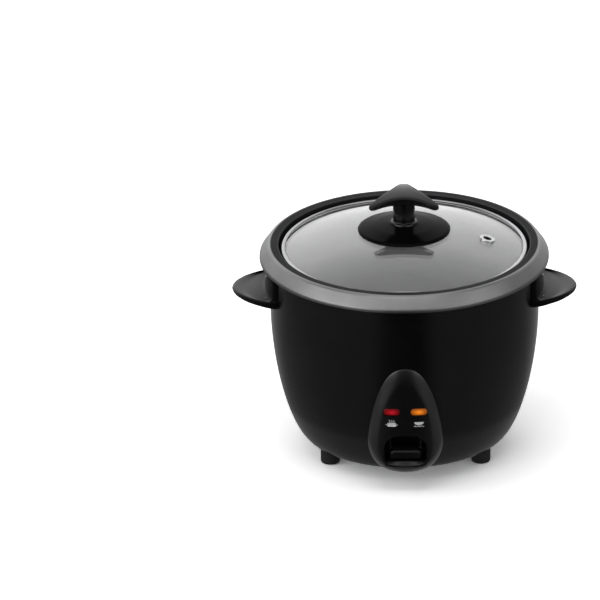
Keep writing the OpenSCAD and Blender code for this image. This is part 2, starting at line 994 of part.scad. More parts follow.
module inlet_housing() {
    color("#19191a")
    difference() {
        union() {
            // hood outside the drum
            difference() {
                intersection() {
                    translate([0, 50, 0])
                        rotate([-90, 0, 0])
                            linear_extrude(inlet_y - 50)
                                mirror([0, 1])
                                    hood_outline();
                    rotate_extrude()
                        polygon([[0, 0], [80, 0], [inlet_y + 2, 20], [inlet_y + 2, 60], [0, 60]]);
                }
                drum(seat);
            }
            inlet_block(socket_w + 2 * inlet_wall, socket_h + 2 * inlet_wall, inlet_back, inlet_y - 1);
        }
        inlet_block(socket_w, socket_h, inlet_y - socket_depth, inlet_y + 1);
        translate([0, inlet_back - 1, 0])
            blades(inlet_y - socket_depth - inlet_back + 2);
        for (s = [-1, 1]) {
            translate([s * inlet_screw_x, 50, inlet_z])
                rotate([-90, 0, 0])
                    cylinder(h = 60, r = screw_r);
            translate([s * inlet_screw_x, inlet_screw_seat, inlet_z])
                rotate([-90, 0, 0])
                    cylinder(h = 10, r = inlet_head_r);
        }
    }
}

// The three contact blades, l long: live and neutral at the sides, earth raised between them
module blades(l) {
    for (at = [[-blade_x, 0], [0, earth_rise], [blade_x, 0]])
        translate([at[0] - blade_t / 2, 0, inlet_z + at[1] - blade_h / 2])
            cube([blade_t, l, blade_h]);
}

// Rear view of the hood: a rectangle with round corners, in X and Z
module hood_outline() {
    r = 6;
    polygon(concat(
        arc(hood_half - r, hood_low + r, r, -90, 0, 6),
        arc(hood_half - r, hood_high - r, r, 0, 90, 6),
        arc(r - hood_half, hood_high - r, r, 90, 180, 6),
        arc(r - hood_half, hood_low + r, r, 180, 270, 6)));
}

module inlet_pins() {
    color("#d8c27a")
    translate([0, inlet_back - 4, 0])
        blades(blade_l);
}

module inlet_screws() {
    color("#b9bbbd")
    for (s = [-1, 1])
        translate([s * inlet_screw_x, 0, inlet_z])
            rotate([-90, 0, 0]) {
                translate([0, 0, inlet_screw_tip])
                    cylinder(h = inlet_screw_seat - inlet_screw_tip, r = screw_r);
                translate([0, 0, inlet_screw_seat])
                    cylinder(h = 1.4, r = inlet_head_r);
            }
}

// ---- wiring ----

// Points of each lead, chosen by hand to keep clear of the switch and the posts
lead_r = 1.1;
tab_y = inlet_back - 5.2;
leads = [
    [[-7, tab_y, 26], [-20, 54, 27], [-end_x, 44, 27], [-end_x, end_y, 29], [-end_x, end_y, 32.5]],
    [[7, tab_y, 26], [24, 54, 28], [32, 49, 35], [32, 46, fuse_z], [32, 43.3, fuse_z]],
    [[32, 28.7, fuse_z], [32, 26, fuse_z], [29, 25, 31], [end_x, end_y, 29], [end_x, end_y, 32.5]],
    [[-13.5, -18, 14.9], [-28, -12, 16], [-32, 16, 20], [-24, 34, 25], [-end_x, 44, 27]],
    [[13.5, -18, 14.9], [26, -26, 17], [28, -46, 17], [25, -60, 20], [25, -70, 30],
     [24, -75, 44], [22, -78, 51], [15, -81.5, 55]],
    [[0, tab_y, 30], [7, 56, 31], [12, 44, 33], [14, 30, 34], [18, 18, 37.2]]
];

module wiring() {
    color("#b5423a")
    for (points = leads)
        wire(route(points, 4), lead_r);
}

// ---- pot and lid ----

module inner_pot() {
    color("#55565a")
    rotate_extrude()
        polygon(concat(
            [[0, pot_z]],
            arc(pot_r - pot_bend, pot_z + pot_bend, pot_bend, -90, 0),
            [[pot_r, ledge_low], [pot_in, ledge_low]],
            arc(pot_r - pot_bend, pot_z + pot_bend, pot_bend - pot_wall, 0, -90),
            [[0, pot_z + pot_wall]]));
}

// The upper end of the pot's wall: the ledge for the lid, the crest and the sloping flange
module pot_rim() {
    outer_low = crest_z - rim_drop;
    color("#8a8b8f")
    rotate_extrude()
        polygon(concat(
            [[pot_in, ledge_low], [step_r + pot_wall, ledge_low],
             [step_r + pot_wall, crest_z - pot_wall], [crest_out - 1.3, crest_z - pot_wall],
             [flange_r - pot_wall - 0.1, outer_low - 0.5], [flange_r - pot_wall, outer_low - lip_h],
             [flange_r - 0.3, outer_low - lip_h], [flange_r, outer_low - lip_h + 0.3],
             [flange_r, outer_low], [flange_r - 0.2, outer_low + 0.5]],
            arc(crest_out - 1.7, crest_z - 1.8, 1.8, 35, 90, 5),
            arc(step_r + 0.8, crest_z - 0.8, 0.8, 90, 180, 4),
            [[step_r, ledge_z], [pot_in + 0.8, ledge_z], [pot_in, ledge_z - 0.8]]));
}

// Height of a sphere of radius r about the glass's centre, at distance x from the axis
function dome_height(r, x) = sphere_z + sqrt(r * r - x * x);

module lid_glass() {
    steps = 16;
    xs = [for (i = [0:steps]) lid_hole_r + (glass_r - lid_hole_r) * i / steps];
    color("#c8d0d4", 0.35)
    difference() {
        rotate_extrude()
            polygon(concat(
                [for (x = xs) [x, dome_height(dome_r, x)]],
                [for (i = [steps:-1:0]) [xs[i], dome_height(dome_r - glass_t, xs[i])]]));
        on_dome()
            cylinder(h = 20, r = vent_shaft_r, center = true);
    }
}

// Places its children on the glass at the vent, square to the surface
module on_dome() {
    rotate(vent_turn)
        translate([0, 0, sphere_z])
            rotate([0, vent_tilt, 0])
                translate([0, 0, dome_r])
                    children();
}

module lid_rim() {
    low = dome_height(dome_r - glass_t, glass_r) - 0.05;
    high = dome_height(dome_r, rim_in) + 0.02;
    color("#d8dadc")
    rotate_extrude()
        polygon(concat(
            [[rim_in, high], [rim_in, high + 0.15]],
            arc(lid_r - bead_r, high + 0.7 - bead_r, bead_r, 130, 0, 10),
            arc(lid_r - 0.6, low + 0.1, 0.6, 0, -90, 4),
            [[rim_in, low - 0.5], [rim_in, low], [glass_r + 0.1, low], [glass_r + 0.1, high]]));
}

module vent_grommet() {
    color("#c8cacc")
    on_dome()
        rotate_extrude()
            polygon(concat(
                [[vent_r, -glass_t - 1], [vent_flange_r - 0.8, -glass_t - 1],
                 [vent_flange_r - 0.8, -glass_t - 0.1], [vent_shaft_r, -glass_t - 0.1],
                 [vent_shaft_r, 0.08], [vent_flange_r, 0.08], [vent_flange_r, 0.5]],
                arc(vent_flange_r - 0.7, 0.5, 0.7, 0, 90, 4),
                [[vent_r + 0.4, 1.2], [vent_r, 0.8]]));
}

module knob_base() {
    hub_r = 8;
    rim_z = dome_height(dome_r, knob_r) + 0.5;
    color("#151516")
    difference() {
        rotate_extrude()
            polygon(concat(
                [[0, dome_z + 0.02], [hub_r, dome_z - 0.08]],
                [for (x = [hub_r + 1:3:knob_r - 5]) [x, dome_height(dome_r, x) + 0.4]],
                [[knob_r - 3, dome_height(dome_r, knob_r - 3) + 0.05],
                 [knob_r - 0.4, dome_height(dome_r, knob_r) + 0.1],
                 [knob_r, rim_z - 0.2], [knob_r, rim_z], [knob_r - 0.5, rim_z + 0.35],
                 [knob_r - 2, rim_z + 0.9], [knob_r - 12, rim_z + 3.1],
                 [post_r + 3, post_foot - 0.5], [post_r + 1.6, post_foot],
                 [post_r + 1.2, post_foot + 0.9], [post_r + 0.4, post_foot + 1.3],
                 [post_r, post_foot + 2], [post_r, post_top], [0, post_top]]));
        translate([0, 0, dome_z - 1])
            cylinder(h = far, r = lid_bolt_r);
        translate([0, 0, plug_z])
            cylinder(h = far, r = plug_r);
    }
}

// Point where the tip at angle a meets the side arc on its side s
function tip_tangent(a, s) =
    let (tip = tip_reach * [cos(a), sin(a)], centre = side_d * [cos(a + 60 * s), sin(a + 60 * s)])
    tip + tip_r * (centre - tip) / norm(centre - tip);

// Plan of the grip: three round tips joined by tangent concave arcs
module grip_plan() {
    difference() {
        polygon([for (k = [0:2]) for (s = [-1, 1]) tip_tangent(120 * k - 30, s)]);
        for (k = [0:2])
            rotate(120 * k)
                translate([0, -side_d])
                    circle(r = side_r, $fn = 180);
    }
    for (k = [0:2])
        rotate(120 * k - 30)
            translate([tip_reach, 0])
                circle(r = tip_r);
}

module knob_grip() {
    steps = 12;
    color("#1a1a1b")
    difference() {
        union() {
            intersection() {
                translate([0, 0, grip_mid])
                    linear_extrude(grip_r + 5)
                        grip_plan();
                rotate_extrude()
                    polygon(concat(
                        [for (i = [0:steps]) let (x = knob_r * i / steps)
                            [x, grip_mid + sqrt(grip_r * grip_r - x * x)]],
                        [for (i = [steps:-1:0]) let (x = knob_r * i / steps, r = grip_r - grip_t)
                            [x, grip_mid + sqrt(r * r - x * x)]]));
            }
            translate([0, 0, plug_z])
                cylinder(h = grip_z - plug_z - 2, r = plug_r);
        }
        translate([0, 0, plug_z - 1])
            cylinder(h = 8, r = lid_bolt_r);
    }
}

module knob_screw() {
    top = dome_z - glass_t - 0.15 - washer_t;
    color("#b9bbbd")
    difference() {
        union() {
            translate([0, 0, top - 2.4])
                cylinder(h = 2.4, r = 4.5);
            translate([0, 0, top])
                cylinder(h = plug_z + 6.8 - top, r = lid_bolt_r);
        }
        cross_slot(top - 2.4);
    }
}

module knob_washer() {
    top = dome_z - glass_t - 0.15;
    color("#3c3c3e")
    translate([0, 0, top - washer_t])
        difference() {
            cylinder(h = washer_t, r = washer_r);
            translate([0, 0, -1])
                cylinder(h = 4, r = lid_bolt_r);
        }
}

// ---- nodes ----

outer_shell();
base_plate();
foot(-1, -1);  // foot_front_left
foot(1, -1);  // foot_front_right
foot(-1, 1);  // foot_rear_left
foot(1, 1);  // foot_rear_right
foot_screws();
handle(-1);  // handle_left
handle(1);  // handle_right
handle_screws();
control_housing();
housing_screws();
lamp_lens(-1, "#c8141e");  // cook_lamp_lens
lamp_lens(1, "#f5961e");  // warm_lamp_lens
neon_lamp(-1);  // cook_neon_lamp
neon_lamp(1);  // warm_neon_lamp
lamp_board();
heating_plate();
heating_element();
heat_shield();
plate_posts();
plate_screws();
thermostat_guide();
sensor_spring();
switch_bracket();
pivot_pin();
microswitch();
thermal_fuse();
inlet_housing();
inlet_pins();
inlet_screws();
wiring();
sensor_cap();
sensor_ferrite();
sensor_tube();
magnet();
magnet_rod();
magnet_spring();
switch_lever();
cook_key();
switch_plunger();
inner_pot();
pot_rim();
lid_glass();
lid_rim();
vent_grommet();
knob_base();
knob_grip();
knob_screw();
knob_washer();
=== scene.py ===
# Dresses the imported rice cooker: refined shells and trim, procedural materials, a plain studio.
# Outlines are in millimetres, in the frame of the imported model; Blender's own units are metres.
import json
import math

import bmesh
import bpy
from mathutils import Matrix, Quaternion, Vector


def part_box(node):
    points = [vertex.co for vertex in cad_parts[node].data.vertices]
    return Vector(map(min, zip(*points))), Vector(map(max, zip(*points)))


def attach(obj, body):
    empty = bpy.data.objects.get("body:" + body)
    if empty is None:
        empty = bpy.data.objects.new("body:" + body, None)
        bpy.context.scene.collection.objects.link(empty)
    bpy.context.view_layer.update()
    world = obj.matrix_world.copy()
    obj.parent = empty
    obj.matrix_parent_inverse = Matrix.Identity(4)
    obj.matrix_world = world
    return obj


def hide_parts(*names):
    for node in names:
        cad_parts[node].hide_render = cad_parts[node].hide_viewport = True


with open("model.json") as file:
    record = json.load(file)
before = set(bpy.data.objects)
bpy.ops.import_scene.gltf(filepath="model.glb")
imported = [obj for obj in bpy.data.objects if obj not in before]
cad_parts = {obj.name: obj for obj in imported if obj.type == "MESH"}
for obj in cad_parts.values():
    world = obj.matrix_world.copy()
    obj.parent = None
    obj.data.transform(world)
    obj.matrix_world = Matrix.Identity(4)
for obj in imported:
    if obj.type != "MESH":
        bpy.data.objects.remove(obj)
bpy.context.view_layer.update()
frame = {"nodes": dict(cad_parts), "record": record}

MM = 0.001

# ---- sizes in millimetres, read from the frame where a node's box gives them ----


def node_box(node):
    """The low and high corner of a node's box, in millimetres."""
    low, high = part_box(node)
    return [c / MM for c in low], [c / MM for c in high]


SHELL_LOW, SHELL_HIGH = node_box("outer_shell")
POT_LOW, _ = node_box("inner_pot")
_, POT_HIGH = node_box("pot_rim")
_, RIM_HIGH = node_box("lid_rim")
_, GLASS_HIGH = node_box("lid_glass")
_, KNOB_HIGH = node_box("knob_base")
_, GRIP_HIGH = node_box("knob_grip")
HANDLE_LOW, HANDLE_HIGH = node_box("handle_right")
PANEL_LOW, PANEL_HIGH = node_box("control_housing")
KEY_LOW, KEY_HIGH = node_box("cook_key")

SHELL_R = SHELL_HIGH[0]
SHELL_BASE_R = 65.0
SHELL_TAPER_Z = 100.0
SHEET = 0.8
POT_R = 80.0
POT_WALL = 1.2
FLANGE_R = POT_HIGH[1]
CREST_Z = POT_HIGH[2]
LEDGE_Z = 137.6
DOME_R = 222.0
DOME_Z = 158.0
GLASS_T = 3.5
RIM_R = RIM_HIGH[0]
VENT_X = 56.0
VENT_TURN = -7.0
VENT_HOLE_R = 3.6
PLUG_R = 4.5
PLUG_Z = 168.0
SCREW_HOLE_R = 2.5
PANEL_FRONT_R = 91.6
PANEL_WALL = 2.2
EGG_MID_Z = 38.0
RECESS_HALF = 13.7
RECESS_LOW = 26.0
RECESS_HIGH = 44.2
LAMP_Z = 62.0
LAMP_X = 9.1
LAMP_LENGTH = 11.6
LAMP_HEIGHT = 5.4
GRIP_SPHERE_R = 63.0
GRIP_UNDER_R = 110.0
GRIP_UNDER_Z = 178.0
HANDLE_ROOT = 86.0

TURNS = 256
CREASE = 32.0

# ---- outlines ----


def arc(cx, cy, r, start, end, steps=8):
    """Points on a circle from angle start to angle end, in degrees."""
    angles = [math.radians(start + (end - start) * i / steps) for i in range(steps + 1)]
    return [(cx + r * math.cos(a), cy + r * math.sin(a)) for a in angles]


def rounded(corners, steps=6):
    """An outline through corners (x, y, radius), each rounded by an arc of its radius."""
    points = []
    count = len(corners)
    for i, (x, y, radius) in enumerate(corners):
        here = Vector((x, y))
        before = Vector(corners[i - 1][:2]) - here
        after = Vector(corners[(i + 1) % count][:2]) - here
        if radius <= 0:
            points.append((x, y))
            continue
        half = before.angle(after) / 2
        reach = min(radius / math.tan(half), before.length * 0.499, after.length * 0.499)
        radius = reach * math.tan(half)
        start = here + before.normalized() * reach
        end = here + after.normalized() * reach
        middle = here + (before.normalized() + after.normalized()).normalized() * (
            radius / math.sin(half))
        spoke_a = start - middle
        spoke_b = end - middle
        sweep = spoke_a.angle_signed(spoke_b)
        for k in range(steps + 1):
            turn = -sweep * k / steps
            c, s = math.cos(turn), math.sin(turn)
            p = middle + Vector((spoke_a.x * c - spoke_a.y * s, spoke_a.x * s + spoke_a.y * c))
            points.append((p.x, p.y))
    return points


def rectangle(x1, y1, x2, y2):
    """The corners of a rectangle from corner (x1, y1) to corner (x2, y2)."""
    return [(x1, y1), (x2, y1), (x2, y2), (x1, y2)]


def soft_step(t):
    """0 below 0, 1 above 1, and a smooth rise between."""
    t = max(0.0, min(1.0, t))
    return t * t * (3 - 2 * t)


def drum_radius(z):
    """Outer radius of the drum at height z: straight above, a closing curve below."""
    if z >= SHELL_TAPER_Z:
        return SHELL_R
    down = min(1.0, (SHELL_TAPER_Z - z) / (SHELL_TAPER_Z - SHELL_LOW[2]))
    return SHELL_BASE_R + (SHELL_R - SHELL_BASE_R) * (1 - down ** 1.7) ** 0.6


def egg_half_width(z, inset=0.0):
    """Half-width of the control housing at height z, drawn in by inset all round."""
    widest = PANEL_HIGH[0] - inset
    if z < EGG_MID_Z:
        t = (EGG_MID_Z - z) / (EGG_MID_Z - PANEL_LOW[2] - inset)
        return widest * math.sqrt(max(0.0, 1 - t * t))
    t = (z - EGG_MID_Z) / (PANEL_HIGH[2] - inset - EGG_MID_Z)
    return widest * max(0.0, 1 - t ** 1.4) ** 0.42


def egg(inset, steps=64):
    """The control housing's outline in X and Z, as points at even angles of height."""
    low = PANEL_LOW[2] + inset
    high = PANEL_HIGH[2] - inset
    right = []
    for i in range(steps + 1):
        z = low + (high - low) * (1 - math.cos(math.pi * i / steps)) / 2
        right.append((egg_half_width(z, inset), z))
    left = [(-x, z) for x, z in reversed(right[1:-1])]
    return right + left


def panel_front(z):
    """Radius of the control housing's front at height z: upright, with a rounded chin."""
    chin_top = 26.0
    chin_r = 80.0
    if z >= chin_top:
        return PANEL_FRONT_R
    t = (chin_top - z) / (chin_top - PANEL_LOW[2])
    return chin_r + (PANEL_FRONT_R - chin_r) * math.sqrt(max(0.0, 1 - t * t))


def on_front(x, z, r):
    """The point at x and z on the front of a cylinder of radius r about the axis."""
    return (x, -math.sqrt(r * r - x * x), z)


def dome_height(x, sink=0.0):
    """Height of the glass at distance x from the axis, sink below its outer face."""
    return DOME_Z - DOME_R + math.sqrt((DOME_R - sink) ** 2 - x * x)


# ---- mesh helpers ----


def add_object(name, data):
    """Puts a mesh, a lamp or a camera into the scene."""
    obj = bpy.data.objects.new(name, data)
    bpy.context.scene.collection.objects.link(obj)
    return obj


def mark_edges(bm, crease):
    """Smooth faces everywhere; an edge that turns by more than crease degrees stays sharp."""
    limit = math.radians(crease)
    for face in bm.faces:
        face.smooth = True
    for edge in bm.edges:
        edge.smooth = len(edge.link_faces) != 2 or edge.calc_face_angle(0) <= limit


def finish_mesh(name, bm, crease=CREASE):
    """Makes an object of a bmesh: outward normals, and sharp edges marked."""
    bmesh.ops.remove_doubles(bm, verts=bm.verts, dist=2e-6)
    bmesh.ops.dissolve_degenerate(bm, dist=1e-7, edges=bm.edges)
    bmesh.ops.recalc_face_normals(bm, faces=bm.faces)
    mark_edges(bm, crease)
    mesh = bpy.data.meshes.new(name)
    bm.to_mesh(mesh)
    bm.free()
    return add_object(name, mesh)


def skin_loops(bm, loops, close_ring=False):
    """Faces between neighbouring closed loops of points that all have the same count."""
    rows = [[bm.verts.new(Vector(p) * MM) for p in loop] for loop in loops]
    pairs = list(zip(rows, rows[1:]))
    if close_ring:
        pairs.append((rows[-1], rows[0]))
    for a, b in pairs:
        count = len(a)
        for i in range(count):
            j = (i + 1) % count
            bm.faces.new((a[i], a[j], b[j], b[i]))
    return rows


def skin_and_cap(bm, loops):
    """Skins the loops and closes both ends with a face."""
    rows = skin_loops(bm, loops)
    bm.faces.new(rows[0])
    bm.faces.new(rows[-1])


def solid(name, loops, crease=CREASE):
    """A closed solid skinned over loops of points."""
    bm = bmesh.new()
    skin_and_cap(bm, loops)
    return finish_mesh(name, bm, crease)


def lathe(name, outline, turns=TURNS, place=None, crease=CREASE):
    """A closed outline of (radius, height) points turned about the Z axis."""
    bm = bmesh.new()
    loops = []
    for k in range(turns):
        a = 2 * math.pi * k / turns
        ring = [Vector((r * math.cos(a), r * math.sin(a), z)) for r, z in outline]
        loops.append([place(p) if place else p for p in ring])
    skin_loops(bm, loops, close_ring=True)
    return finish_mesh(name, bm, crease)


def prism(name, outline, start, end, across):
    """An outline extruded from start to end; across turns (u, v, w) into a point."""
    return solid(name, [[across(u, v, w) for u, v in outline] for w in (start, end)])


def forward(u, v, w):
    """A point of an outline drawn in X and Z, at distance w in front of the axis."""
    return (u, -w, v)


def sideways(u, v, w):
    """A point of an outline drawn in Y and Z, at distance w to the side of the axis."""
    return (w, u, v)


def apply_modifiers(obj):
    """Bakes an object's modifiers into its mesh."""
    graph = bpy.context.evaluated_depsgraph_get()
    mesh = bpy.data.meshes.new_from_object(obj.evaluated_get(graph))
    obj.modifiers.clear()
    obj.data = mesh


def carve(obj, cutters, operation="DIFFERENCE"):
    """Cuts each cutter out of obj, or joins it, and removes the cutters."""
    for cutter in cutters:
        cut = obj.modifiers.new("cut", "BOOLEAN")
        cut.operation = operation
        cut.solver = "EXACT"
        cut.object = cutter
        apply_modifiers(obj)
        bpy.data.objects.remove(cutter)


def resharpen(obj, crease=CREASE):
    """Marks the sharp edges again after a cut."""
    bm = bmesh.new()
    bm.from_mesh(obj.data)
    mark_edges(bm, crease)
    bm.to_mesh(obj.data)
    bm.free()


# ---- material helpers ----


class Nodes:
    """A node tree, with short calls for the nodes used here."""

    def __init__(self, tree):
        self.tree = tree

    def node(self, kind, **settings):
        """A new node; a setting goes to its input of that name, or else to the node itself."""
        made = self.tree.nodes.new(kind)
        for key, value in settings.items():
            socket = key.replace("_", " ")
            if socket in made.inputs:
                made.inputs[socket].default_value = value
            else:
                setattr(made, key, value)
        return made

    def link(self, source, target):
        """Feeds a socket from another node, or sets it to a plain value."""
        if isinstance(source, bpy.types.NodeSocket):
            self.tree.links.new(source, target)
        else:
            target.default_value = source

    def ramp(self, source, stops):
        """Colours or greys of stops [(place, value), ...] along a 0 to 1 source."""
        made = self.node("ShaderNodeValToRGB")
        while len(made.color_ramp.elements) < len(stops):
            made.color_ramp.elements.new(0.5)
        for element, (place, value) in zip(made.color_ramp.elements, stops):
            element.position = place
            grey = (value, value, value) if isinstance(value, (int, float)) else value
            element.color = (*grey, 1.0)
        self.link(source, made.inputs["Fac"])
        return made.outputs["Color"]

    def spread(self, source, low, high, start=0.0, end=1.0):
        """A source that runs from start to end, mapped to low to high."""
        made = self.node("ShaderNodeMapRange", From_Min=start, From_Max=end, To_Min=low,
                         To_Max=high)
        self.link(source, made.inputs["Value"])
        return made.outputs["Result"]

    def math(self, operation, a, b=None):
        """The result of a math node on one or two sources or numbers."""
        made = self.node("ShaderNodeMath", operation=operation)
        self.link(a, made.inputs[0])
        if b is not None:
            self.link(b, made.inputs[1])
        return made.outputs["Value"]

    def times(self, first, *others):
        """The product of sources and numbers."""
        for other in others:
            first = self.math("MULTIPLY", first, other)
        return first

    def within(self, source, middle, half):
        """1 where a source in metres is within half of middle, both in millimetres."""
        off = self.math("ABSOLUTE", self.math("SUBTRACT", source, middle * MM))
        return self.math("LESS_THAN", off, half * MM)

    def blend(self, share, first, second, kind="RGBA"):
        """Colour or number first, giving way to second as share rises from 0 to 1."""
        a, b, result = {"RGBA": (6, 7, 2), "FLOAT": (2, 3, 0)}[kind]
        made = self.node("ShaderNodeMix", data_type=kind)
        self.link(share, made.inputs["Factor"])
        self.link(first, made.inputs[a])
        self.link(second, made.inputs[b])
        return made.outputs[result]

    def blend_shaders(self, share, first, second):
        """Shader node first, giving way to shader node second as share rises from 0 to 1."""
        made = self.node("ShaderNodeMixShader")
        for source, socket in zip((share, first.outputs[0], second.outputs[0]), made.inputs):
            self.link(source, socket)
        return made


class Shader(Nodes):
    """A material with one main surface, its position in object space at hand."""

    def __init__(self, name):
        self.material = bpy.data.materials.new(name)
        self.material.use_nodes = True
        super().__init__(self.material.node_tree)
        self.surface = self.tree.nodes["Principled BSDF"]
        self.output = self.tree.nodes["Material Output"]
        self.position = self.node("ShaderNodeTexCoord").outputs["Object"]

    def set(self, **values):
        """Values or sources for the surface's sockets; underscores stand for spaces."""
        for key, value in values.items():
            self.link(value, self.surface.inputs[key.replace("_", " ")])

    def noise(self, scale, detail=3.0, stretch=(1, 1, 1), roughness=0.55):
        """Noise in object space, from 0 to 1."""
        mapping = self.node("ShaderNodeMapping", Scale=stretch)
        self.link(self.position, mapping.inputs["Vector"])
        made = self.node("ShaderNodeTexNoise", Scale=scale, Detail=detail, Roughness=roughness)
        self.link(mapping.outputs["Vector"], made.inputs["Vector"])
        return made.outputs["Fac"]

    def axes(self):
        """The object-space X, Y and Z of the shaded point, in metres."""
        split = self.node("ShaderNodeSeparateXYZ")
        self.link(self.position, split.inputs["Vector"])
        return split.outputs

    def radius(self):
        """Distance of the shaded point from the Z axis, in metres."""
        x, y, _ = self.axes()
        return self.math("SQRT", self.math("ADD", self.times(x, x), self.times(y, y)))

    def bump(self, height, strength, distance=0.0001):
        """Roughens the surface by a height from 0 to 1."""
        made = self.node("ShaderNodeBump", Strength=strength, Distance=distance)
        self.link(height, made.inputs["Height"])
        self.set(Normal=made.outputs["Normal"])

    def mottle(self, low, high, grain):
        """Colours the surface unevenly from low to high; gives that noise and a fine grain."""
        cloud = self.noise(38.0, 2.0)
        self.set(Base_Color=self.ramp(cloud, [(0.35, low), (0.65, high)]))
        return cloud, self.noise(grain, 2.0)


def mottled(name, low, high, rough, bump, grain, **values):
    """A plain finish: slight colour mottling, uneven roughness, fine surface grain."""
    s = Shader(name)
    s.set(**values)
    cloud, fine = s.mottle(low, high, grain)
    s.set(Roughness=s.spread(s.math("ADD", s.times(fine, 0.6), s.times(cloud, 0.4)), *rough))
    s.bump(fine, bump)
    return s.material


def housing_black():
    """The control housing's moulding: glossy outside; in the key's recess and its scoop the sheen is
    cut as painted shade.
    """
    s = Shader("housing_black")
    x, _, z = s.axes()
    wide = s.within(x, 0.0, RECESS_HALF + 0.25)
    recess = s.times(wide, s.within(z, (RECESS_LOW + RECESS_HIGH) / 2,
                                    (RECESS_HIGH - RECESS_LOW) / 2 + 0.2),
                     s.math("LESS_THAN", s.radius(), (PANEL_FRONT_R - 0.8) * MM))
    # the scooped lip under the recess
    scoop = s.times(wide, s.within(z, RECESS_LOW - 2.2, 2.0),
                    s.math("LESS_THAN", s.radius(), (PANEL_FRONT_R - 0.1) * MM))
    # painted shade: the recess and the scoop under it lose their sheen and coat, so they render dark
    dull = s.math("ADD", recess, s.times(scoop, 0.8))
    _, fine = s.mottle((0.0018, 0.0018, 0.0020), (0.0028, 0.0028, 0.0031), 3400.0)
    s.set(Roughness=s.spread(fine, 0.25, 0.33), Specular_IOR_Level=s.spread(dull, 0.85, 0.08),
          Coat_Weight=s.spread(dull, 1.0, 0.0), Coat_Roughness=0.26)
    s.bump(fine, 0.10)
    return s.material


def disc_black():
    """The knob's lower part: a dull disc, and a glossier post with a ring at its foot."""
    s = Shader("disc_black")
    post = s.math("LESS_THAN", s.radius(), 8.9 * MM)
    _, fine = s.mottle((0.0018, 0.0018, 0.0020), (0.0028, 0.0028, 0.0031), 1800.0)
    s.set(Roughness=s.spread(fine, 0.13, 0.19), Specular_IOR_Level=s.spread(post, 0.025, 0.55))
    s.bump(fine, 0.03)
    return s.material


def handle_black():
    """The handles' moulding: as painted shade, its sheen fades towards the drum and towards the
    front.
    """
    s = Shader("handle_black")
    x, y, _ = s.axes()
    # painted shade: the sheen is lowered towards the drum and towards the front, so the dish renders
    # darker there
    outer = s.spread(s.math("ABSOLUTE", x), 0.12, 1.0, 0.091, 0.106)
    back = s.spread(y, 0.15, 1.0, -0.024, 0.014)
    _, fine = s.mottle((0.0026, 0.0026, 0.0028), (0.0038, 0.0038, 0.0041), 3400.0)
    s.set(Roughness=s.spread(fine, 0.20, 0.27),
          Specular_IOR_Level=s.spread(s.times(outer, back), 0.04, 0.42))
    s.bump(fine, 0.10)
    return s.material


def turned_metal(name, low, high, rough, lines=1.0, shade_band=None):
    """Metal turned on a lathe: fine rings about the Z axis, and a band of painted shade between two
    radii.
    """
    s = Shader(name)
    radius = s.radius()
    rings = s.node("ShaderNodeTexNoise", noise_dimensions="1D", Scale=2600.0, Detail=2.0)
    s.link(radius, rings.inputs["W"])
    rings = rings.outputs["Fac"]
    colour = s.ramp(s.noise(30.0, 2.0), [(0.3, low), (0.7, high)])
    # painted shade: a dark band between two radii stands in for the shade where the lid's band meets
    # the glass
    if shade_band:
        inside = s.times(s.math("GREATER_THAN", radius, shade_band[0]),
                         s.math("LESS_THAN", radius, shade_band[1]))
        colour = s.blend(inside, colour, (0.035, 0.035, 0.037, 1))
    s.set(Metallic=1.0, Base_Color=colour, Roughness=s.spread(rings, *rough))
    s.bump(rings, 0.12 * lines, 0.00004)
    return s.material


def drawn_metal(name, low, high, rough):
    """Sheet metal or wire with a faint rolled grain."""
    s = Shader(name)
    lines = s.noise(420.0, 3.0, (1, 1, 14))
    s.set(Metallic=1.0, Base_Color=s.ramp(s.noise(45.0, 3.0), [(0.3, low), (0.7, high)]),
          Roughness=s.spread(lines, *rough))
    s.bump(lines, 0.10, 0.00006)
    return s.material


def pot_finish():
    """The pot: satin metal outside its crest, dark non-stick coating on the crest and within, with a
    painted highlight on the crest's inner edge.
    """
    crest_outer_r, crest_highlight_r, wall_r = 89.3, 85.1, 79.4
    s = Shader("pot_finish")
    radius = s.radius()
    _, _, z = s.axes()
    # the coating fades out where the rim turns down outside the crest
    outside = s.times(s.math("SUBTRACT", radius, crest_outer_r * MM), 1200.0)
    under = s.math("LESS_THAN", z, (POT_LOW[2] + 0.6) * MM)
    wall = s.times(s.math("GREATER_THAN", radius, wall_r * MM),
                   s.math("LESS_THAN", z, (LEDGE_Z - 0.5) * MM))
    clamp = s.node("ShaderNodeClamp")
    s.link(s.math("MAXIMUM", outside, s.math("MAXIMUM", under, wall)), clamp.inputs["Value"])
    metal = clamp.outputs["Result"]
    grain = s.noise(1900.0, 3.0)
    cloud = s.noise(36.0, 2.0)
    specks = s.ramp(s.noise(2300.0, 1.0), [(0.62, 0.0), (0.72, 1.0)])
    metal_colour = s.ramp(s.math("ADD", s.times(cloud, 0.5), s.times(grain, 0.5)),
                          [(0.35, (0.26, 0.26, 0.264)), (0.65, (0.34, 0.34, 0.344))])
    # painted highlight: the inner edge of the crest is coloured lighter where it catches the light
    edge_highlight = s.times(s.math("LESS_THAN", radius, crest_highlight_r * MM),
                   s.math("GREATER_THAN", z, (CREST_Z - 0.9) * MM))
    # the lighter colour gives the coating's specks and the painted highlight on the crest's inner
    # edge
    coat = s.blend(s.math("ADD", s.times(specks, 0.2), s.times(edge_highlight, 0.6)),
                   s.ramp(cloud, [(0.3, (0.011, 0.011, 0.012)), (0.7, (0.017, 0.017, 0.018))]),
                   (0.09, 0.09, 0.094, 1))
    s.set(Base_Color=s.blend(metal, coat, metal_colour), Metallic=metal,
          Roughness=s.blend(metal, s.spread(grain, 0.40, 0.50), s.spread(grain, 0.34, 0.46),
                            "FLOAT"),
          Specular_IOR_Level=0.05)
    s.bump(grain, 0.16, 0.00008)
    return s.material


